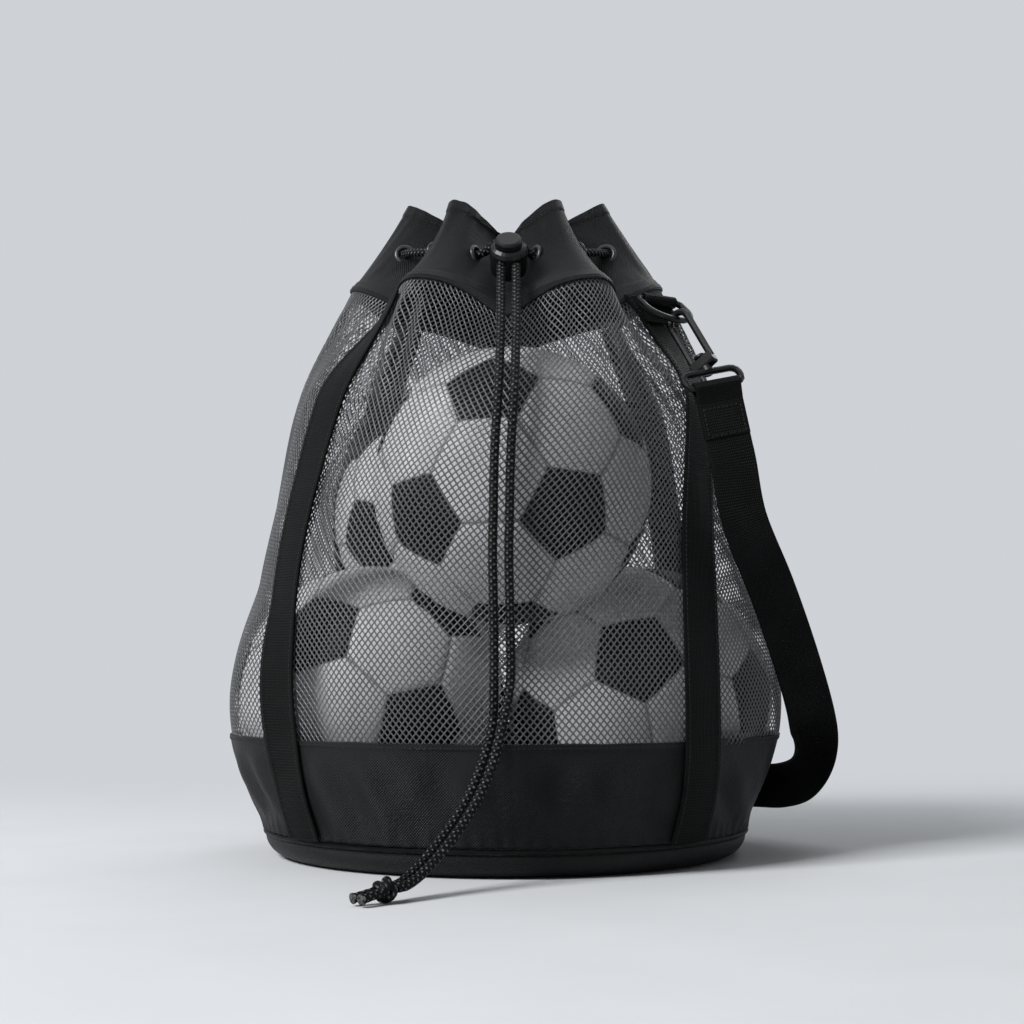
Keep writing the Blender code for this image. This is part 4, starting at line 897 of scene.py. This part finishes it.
def netPanel(node, start, stop):
    def span(z):  # azimuths of the two straps
        low, high = strapAzimuth(start, z), strapAzimuth(stop, z)
        return low, np.where(high < low, high + 2 * math.pi, high)

    def spot(a, b):  # a across between two straps, b up from band to collar
        foot = bagSet["bandTop"] - netSet["below"]
        z = np.zeros_like(a) + 0.2
        for _ in range(2):
            low, high = span(z)
            phi = low + (high - low) * a
            z = foot + b * (seamHeight(phi) + netSet["above"] - foot)
        gather = smoothStep((z - stackTop + netSet["gatherBelow"]) / netSet["gatherTall"])
        pull = netSet["pull"] * gather * wrinkle(phi, z, 21, (24, 60), (-30, 30), 8)
        slack = netSet["slack"] * (1 - gather) * wrinkle(phi, z, 33, (6, 22), (-60, 60), 8)
        free = smoothStep((seamHeight(phi) - netSet["hemClear"] - z) / netSet["hemEase"])  # flat under the collar
        return place(phi, bagRadius(phi, z) - netSet["sink"] + (pull + slack) * free, z)

    low, high = span(netSet["midZ"])
    long = float(lineLength(spot(np.full(200, 0.5), np.linspace(0, 1, 200)))[-1])
    cols, tall = int((high - low) * netSet["midR"] / netSet["wide"]), int(long / netSet["tall"])
    i, j = np.meshgrid(np.arange(cols), np.arange(tall), indexing="ij")
    inside = (i > 0) & (j > 0)
    centre = np.concatenate((joined(i.ravel() + 0.5, j.ravel() + 0.5), joined(i[inside], j[inside])))
    turn = np.arange(8) * math.pi / 4
    inner = np.where(np.arange(8) % 2 == 0, netSet["corner"], netSet["side"] * math.sqrt(2))
    way = joined(np.cos(turn), np.sin(turn))
    ringOut = (centre[:, None] + 0.5 * way[::2]).reshape(-1, 2)
    ringIn = (centre[:, None] + way * inner[:, None]).reshape(-1, 2)
    keys, back = np.unique(np.round(ringOut * 2).astype(int), axis=0, return_inverse=True)
    flat = np.concatenate((keys / 2.0, ringIn))
    a, b, n = flat[:, 0] / cols, flat[:, 1] / tall, len(keys)
    at = spot(a, b)
    half = outward(spot, a[:n], b[:n], netSet["probe"] / cols, netSet["probe"] / tall) * netSet["strand"]
    points = np.concatenate((at[:n] + half, at[:n] - half, at[n:]))
    p = back.reshape(-1, 4)
    q = np.roll(p, -1, axis=1)
    hole = 2 * n + np.arange(len(ringIn)).reshape(-1, 8)
    first, second, third = hole[:, ::2], hole[:, 1::2], np.roll(hole[:, ::2], -1, axis=1)
    faceOut = np.stack((joined(p, q, second), joined(p, second, first), joined(q, third, second)))
    faceOut = faceOut.reshape(-1, 3)
    faceIn = np.where(faceOut < n, faceOut + n, faceOut)[:, ::-1]
    pair = joined(p, q).reshape(-1, 2)
    _, uses = np.unique(np.sort(pair, axis=1), axis=0, return_inverse=True)
    uses = uses.ravel()
    rim = pair[np.bincount(uses)[uses] == 1]  # strands on the panel's edge are closed by a strip
    faceRim = joined(rim[:, 1], rim[:, 0], rim[:, 0] + n, rim[:, 1] + n)
    panel = wearing(putMesh(camel(node), points, [faceOut, faceIn, faceRim]), netStrand)
    whole = gridArea(spot(*np.meshgrid(np.linspace(0, 1, 40), np.linspace(0, 1, 60))))
    fixed(panel, "net", node)
    print(node, "cells", len(centre), "triangles", 2 * (len(faceOut) + len(faceRim)))


strapNames = list(strapTurns)
for k, word in enumerate(("front", "right", "back", "left")):
    netPanel("net_" + word, strapNames[k], strapNames[(k + 1) % 4])
print("net made")


# collar: a sheet from seam to free edge, drawn in at the cord, with fine gathers between the big folds
def threeLevel(t, low, mid, high):  # parabola through the seam, the cord and the edge
    c = collarSet["level"]
    return low * (t - c) * (t - 1) / c + mid * t * (t - 1) / (c * (c - 1)) + high * t * (t - c) / (1 - c)


def collarPoint(phi, t):
    wave = foldWave(phi)
    lift = bagSet["sideLift"] * np.sin(phi) ** 2
    seamZ = seamHeight(phi)
    topZ = stackTop + bagSet["ridgeRise"] + collarSet["height"] - collarSet["topDip"] * (1.0 - wave) + lift
    z = threeLevel(t, seamZ, cordZ + lift, topZ)
    mid = collarSet["midValley"] + (collarSet["midRidge"] - collarSet["midValley"]) * wave
    top = collarSet["topValley"] + (collarSet["topRidge"] - collarSet["topValley"]) * wave
    return place(phi, threeLevel(t, bagRadius(phi, seamZ), mid, top), z)


gatherSet = {"calm": 0.11, "calmTall": 0.22, "broad": 0.0011, "narrow": 0.00025, "hem": 0.0007,
             "hemStep": 0.015, "topHem": 0.90, "seamHem": 0.07, "cols": 720, "proud": 0.0018, "thick": 0.0014,
             "uvTall": 0.10, "girth": 1.05}


def gatheredPoint(phi, t):
    near = apart(phi[..., None], crossings).min(axis=-1)
    level = np.exp(-((t - collarSet["level"]) / gatherSet["calmTall"]) ** 2)
    calm = 1.0 - np.exp(-(near / gatherSet["calm"]) ** 2) * level
    fine = (gatherSet["broad"] * wrinkle(phi, t, 51, (9, 22), (-3, 3), 8)
            + gatherSet["narrow"] * wrinkle(phi, t, 57, (40, 70), (-6, 6), 8))
    shape = smoothStep(t / 0.25) * (0.6 + 0.4 * t)
    past = np.maximum(t - gatherSet["topHem"], gatherSet["seamHem"] - t)  # into either hem
    hem = gatherSet["hem"] * smoothStep(past / gatherSet["hemStep"])
    normal = outward(collarPoint, phi, t, 0.01, 0.02)
    return collarPoint(phi, t) + normal * (fine * calm * shape + hem)[..., None]


cols = gatherSet["cols"]
turn = np.linspace(-math.pi, math.pi, cols + 1)
t = np.concatenate((np.linspace(0, 0.1, 9), np.linspace(0.125, 0.885, 30), np.linspace(0.9, 1.0, 9)))[:, None]
frontDip = collarSet["overlap"] + collarSet["frontDip"] * np.exp(-(turn[:-1] / collarSet["dipHalf"]) ** 2)
share = np.linspace(1, 0, 9)[:-1, None]
hemZ = seamHeight(turn[:-1]) - share * frontDip
hemPoints = place(turn[:-1], bagRadius(turn[:-1], hemZ) + gatherSet["proud"], hemZ)
collarPoints = np.concatenate((hemPoints, gatheredPoint(*np.broadcast_arrays(turn[:-1], t))))
climb = gatherSet["uvTall"] * np.concatenate((-0.12 * share, t))
uv = joined(np.linspace(0, gatherSet["girth"], cols + 1)[None, :], climb)
collar = thicken(skinGrid("gatheredCollar", collarPoints, wrapCols=True, uv=uv), gatherSet["thick"])
fixed(wearing(collar, nylon), "nylon_cloth", "collar_front", "collar_right", "collar_left")
closedPoints = np.concatenate((collarPoints, collarPoints[:, :1]), axis=1)
edgeLine = gatheredPoint(turn, np.full(cols + 1, gatherSet["topHem"]))
edgeNormal = np.cross(np.gradient(edgeLine, axis=0), gatheredPoint(turn, np.full(cols + 1, 0.95)) - edgeLine)
sewnRows = [(closedPoints[2], place(turn, 1.0, 0.0)), (edgeLine, unit(edgeNormal))]
stitchRows("collarThreads", sewnRows, "nylon_cloth")

# eyelets: a rolled ring, one turned profile set on each place where the cord goes through
eyeletSet = {"ring": 0.0070, "wide": 0.0020, "high": 0.0017}
ringTurn, lip = roundTurn(28)[:, None], roundTurn(12)
lipR = eyeletSet["ring"] + eyeletSet["wide"] * np.cos(lip)
loop = joined(lipR * np.cos(ringTurn), lipR * np.sin(ringTurn), eyeletSet["high"] * np.sin(lip))
level = np.array(collarSet["level"])
for k, at in enumerate(crossings, 1):
    normal = outward(collarPoint, at, level, 0.04, 0.1)
    tangent = np.array([math.cos(at), math.sin(at), 0])
    axis = unit(normal + tangent * (1 if tangent @ normal > 0 else -1))
    sideways = unit(np.cross((0, 0, 1), axis))
    turned = np.stack((sideways, np.cross(axis, sideways), axis))
    ring = collarPoint(at, level) - normal * 0.5 * collarSet["cloth"] + loop @ turned
    eyelet = outwardFaces(wearing(skinGrid(f"eyelet{k}", ring, wrapCols=True, wrapRows=True), eyeletPaint))
    fixed(eyelet, "eyelet_metal", f"eyelet_{k}")
print("collar and eyelets made")

# ring, hook and carry strap are set out from the top of the front right strap, as in the part
hookSet = {"bar": (0.121765, -0.056249, 0.440894), "ringSide": (0.802365, 0.596833, 0.0),
           "ringOut": (0.533, -0.717, 0.449), "foot": (0.152811, -0.101674, 0.382433),
           "hang": (0.339151, -0.528687, -0.778117), "eyeSide": (1.0, 0.36, 0.30),
           "loopHang": (0.27, 0.05, -0.96), "eyeRod": 0.0027, "wire": 0.0026, "loose": 0.0004, "loop": 0.040,
           "eyeDrop": 0.0239, "keeper": 0.0165}
bar, ringSide = np.array(hookSet["bar"]), unit(hookSet["ringSide"])
hang, foot = unit(hookSet["hang"]), np.array(hookSet["foot"])
eyeSide = squareTo(hookSet["eyeSide"], hang)
eyeBar = foot + hang * hookSet["eyeDrop"]
loopWay = squareTo(hookSet["loopHang"], eyeSide)
loopUp = np.cross(eyeSide, loopWay)

# carry strap: a ribbon from the sewn loop down the right side and round to the back
carrySet = {"gap": 0.0009, "tuck": 0.004, "anchorZ": 0.046, "handTurn": 0.12, "handOut": 0.012}
routePoints = np.array(((0.1820, -0.1120, 0.2600), (0.2050, -0.0930, 0.2080), (0.2270, -0.0640, 0.1560),
                        (0.2440, -0.0310, 0.1110), (0.2520, 0.0030, 0.0800), (0.2490, 0.0420, 0.0570),
                        (0.2360, 0.0790, 0.0470), (0.2140, 0.1080, 0.0450)))
routeEdges = np.array(((0.95, 0.30, 0.18), (0.95, 0.30, 0.08), (0.93, 0.36, -0.05), (0.86, 0.38, -0.25),
                       (0.62, 0.25, -0.70), (0.30, 0.05, -0.95), (0.10, 0.02, -1.0), (0.05, 0.03, -1.0)))
strapStart = eyeBar + loopWay * (hookSet["loop"] - carrySet["tuck"])
anchorZ, half = carrySet["anchorZ"], webSet["half"]
anchorPhi = strapAzimuth("strap_back_right", anchorZ) + np.array([-0.10, 0.0, 0.09])
anchorLift = webSet["lift"] + 1.5 * webSet["thick"] + carrySet["gap"]
handPhi = anchorPhi[:1] - carrySet["handTurn"]
handOn = bagPoint(handPhi, anchorZ) + carrySet["handOut"] * place(handPhi, 1.0, 0.0)
anchor = place(anchorPhi, bagRadius(anchorPhi, anchorZ) + anchorLift, anchorZ)
anchorEdge = (bagPoint(anchorPhi, anchorZ - half) - bagPoint(anchorPhi, anchorZ + half)) / (2 * half)
route = np.concatenate(([strapStart + loopWay * s for s in (0, 0.012, 0.024)], routePoints, handOn, anchor))
edges = np.concatenate(([eyeSide] * 3, routeEdges, anchorEdge[:1], anchorEdge))
dense = np.linspace(0, len(route) - 1, 2400)
carry, carryLong = ribbon("carryStrap", curveThrough(route, dense), curveThrough(edges, dense))
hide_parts("shoulder_strap")
tuple(strapStart + 0.01 * loopWay)
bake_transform(carry)
print("carry strap", round(carryLong, 3), "m")


def foldedWeb(node, path, origin, xWay, yWay, side, half, body):  # webbing bent on a flat path in one frame
    path = np.asarray(path, float)
    line = origin + path[:, :1] * xWay + path[:, 1:] * yWay
    fixed(ribbon(camel(node), line, side + 0 * line, half)[0], None, node, body=body)


loopR = hookSet["eyeRod"] + hookSet["loose"] + 0.5 * webSet["thick"]
bow = np.linspace(-math.pi / 2, -1.5 * math.pi, 40)
lead = np.array([(hookSet["loop"], 0.0009), (0.013, 0.0010), (0.004, 0.0030)])
loopPath = np.concatenate((lead * (1, -1), loopR * joined(np.cos(bow), np.sin(bow)), lead[::-1]))
foldedWeb("strap_end_loop", loopPath, eyeBar, loopWay, loopUp, eyeSide, half, "strap_end")
boxSet = {"near": 0.017, "far": 0.038, "wide": 0.82}
boxX = np.array([boxSet[word] for word in ("near", "near", "far", "far", "near")])
boxY = np.array([-1, 1, 1, -1, -1]) * boxSet["wide"] * half
boxRows = []
for face in (-1, 1):  # a sewn box on both faces of the loop
    middle = eyeBar + loopUp * face * (webSet["thick"] + webSet["onTop"])
    corners = middle + boxX[:, None] * loopWay + boxY[:, None] * eyeSide
    normal = np.tile(face * loopUp, (40, 1))
    boxRows += [(np.linspace(one, two, 40), normal) for one, two in zip(corners, corners[1:])]
stitchRows("loopThreads", boxRows, "webbing", "strap_end")
ringOut = squareTo(hookSet["ringOut"], ringSide)
ringDown = np.cross(ringOut, ringSide)
ringDown = ringDown * (-1 if ringDown[2] > 0 else 1)
keepR = hookSet["wire"] + hookSet["loose"] + 0.5 * webSet["thick"]
bow = np.linspace(-math.pi / 2, -2 * math.pi - 0.7, 40)
keepPath = np.concatenate(([(0.020, -keepR)], keepR * joined(np.cos(bow), np.sin(bow))))
foldedWeb("ring_keeper", keepPath, bar, ringDown, ringOut, ringSide, hookSet["keeper"], "bag")
patchPhi = (anchorPhi[1] + np.linspace(0.0, 0.7, 60) * half / bagSet["bandMid"])[:, None]
patchZ = anchorZ - section[:, 0] * 0.5 * half
patchSurface = place(patchPhi, bagRadius(patchPhi, patchZ) + anchorLift + webSet["thick"], patchZ)
patch = webMesh("strapAnchor", patchSurface, place(patchPhi, 1.0, 0.0), lineLength(patchSurface[:, 0]))
fixed(patch, None, "strap_anchor")
for name in ("lock_barrel", "lock_button", "d_ring", "hook_eye", "snap_hook", "hook_gate"):
    wearing(nodes[name], plastic)

# lock spring: a steel coil with closed end turns, pressed short by the button
springSet = {"radius": 0.0060, "wire": 0.0005, "turns": 3.5, "press": 0.0045}
springNode = nodes["lock_spring"]
high = np.array([tuple(springNode.matrix_world @ v.co) for v in springNode.data.vertices]) @ tiltAxis
springFoot = boreMid + tiltAxis * (high.min() + springSet["wire"] - boreMid @ tiltAxis)
springTall = float(np.ptp(high)) - 2 * springSet["wire"]
share = np.linspace(0, 1, 300)
coilTurn = 2 * math.pi * springSet["turns"] * share
coilSide = np.cross((1.0, 0, 0), tiltAxis)
coilRise = smoothStep(share * 0.9 + 0.05)
coilRise = springTall * (coilRise - coilRise[0]) / (coilRise[-1] - coilRise[0])
coil = (springFoot + springSet["radius"] * circles(coilTurn, np.array([[1.0, 0, 0]]), coilSide[None])[0]
        + coilRise[:, None] * tiltAxis)
coilTube = capped(tubeGrid(coil, springSet["wire"], 10, tiltAxis))
spring = outwardFaces(wearing(skinGrid("lockSpring", coilTube, wrapCols=True, poles=True), springSteel))
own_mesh(fixed(spring, "spring_steel", "lock_spring", body="cord_lock"))
print("ring, hook, spring and strap ends made")

# floor that curves up into a backdrop, and soft studio light from the front left
stageSet = {"key": 225.0, "top": 6.0, "back": 15.0, "sky": 0.12, "pale": (0.62, 0.645, 0.675, 1),
            "bendY": 2.0, "bend": 1.2, "aim": (0, 0, 0.2)}
turn = np.linspace(0, math.pi / 2, 12)
level, bendR = np.linspace(-4, stageSet["bendY"], 40), stageSet["bend"]
curve = joined(level[-1] + bendR * np.sin(turn), bendR - bendR * np.cos(turn))
sweep = np.concatenate((joined(level, 0.0), curve[1:], [(level[-1] + bendR, 4.0)]))
floor = skinGrid("studioFloor", joined(np.linspace(-5, 5, 30)[None, :], sweep[:, :1], sweep[:, 1:]))
b = newBoard("paleFloor")
grain = b.noise(b.spot(), 9.0, 3.0)
colour = b.ramp(grain, (0.655, 0.672, 0.694), (0.68, 0.697, 0.719), (0.3, 0.7))
b.wear({"Base Color": colour, "Roughness": 0.85})
far = b.node("ShaderNodeMapRange", {"interpolation_type": "SMOOTHSTEP"},
             {"Value": b.pair("Object")[1], "From Min": 0.0, "From Max": 1.1})
b.showPale("ShaderNodeEmission", "Material Output", far)
wearing(floor, b.owner)


def softbox(name, at, size, power):  # a square lamp aimed at the bag
    lamp = bpy.data.lights.new(name, "AREA")
    lamp.shape = "SQUARE"
    lamp.size = size
    lamp.energy = power
    obj = bpy.data.objects.new(name, lamp)
    scene.collection.objects.link(obj)
    back = unit(np.array(at) - stageSet["aim"])
    side = unit(np.cross((0, 0, 1), back))
    up = np.cross(back, side)
    obj.matrix_world = Matrix([[side[k], up[k], back[k], at[k]] for k in range(3)] + [[0, 0, 0, 1]])


softbox("keyLight", (-2.6, -2.3, 2.8), 1.5, stageSet["key"])
softbox("backLight", (1.6, 2.6, 2.2), 1.5, stageSet["back"])
softbox("topLight", (0.3, 0.2, 2.4), 1.6, stageSet["top"])
scene.world = bpy.data.worlds.new("studioAir")
air = Board(scene.world)
air.wear({"Color": (0.95, 0.97, 1.0, 1), "Strength": stageSet["sky"]})
air.showPale("ShaderNodeBackground", "World Output")
scene.view_settings.view_transform = "Standard"
print("stage lit")
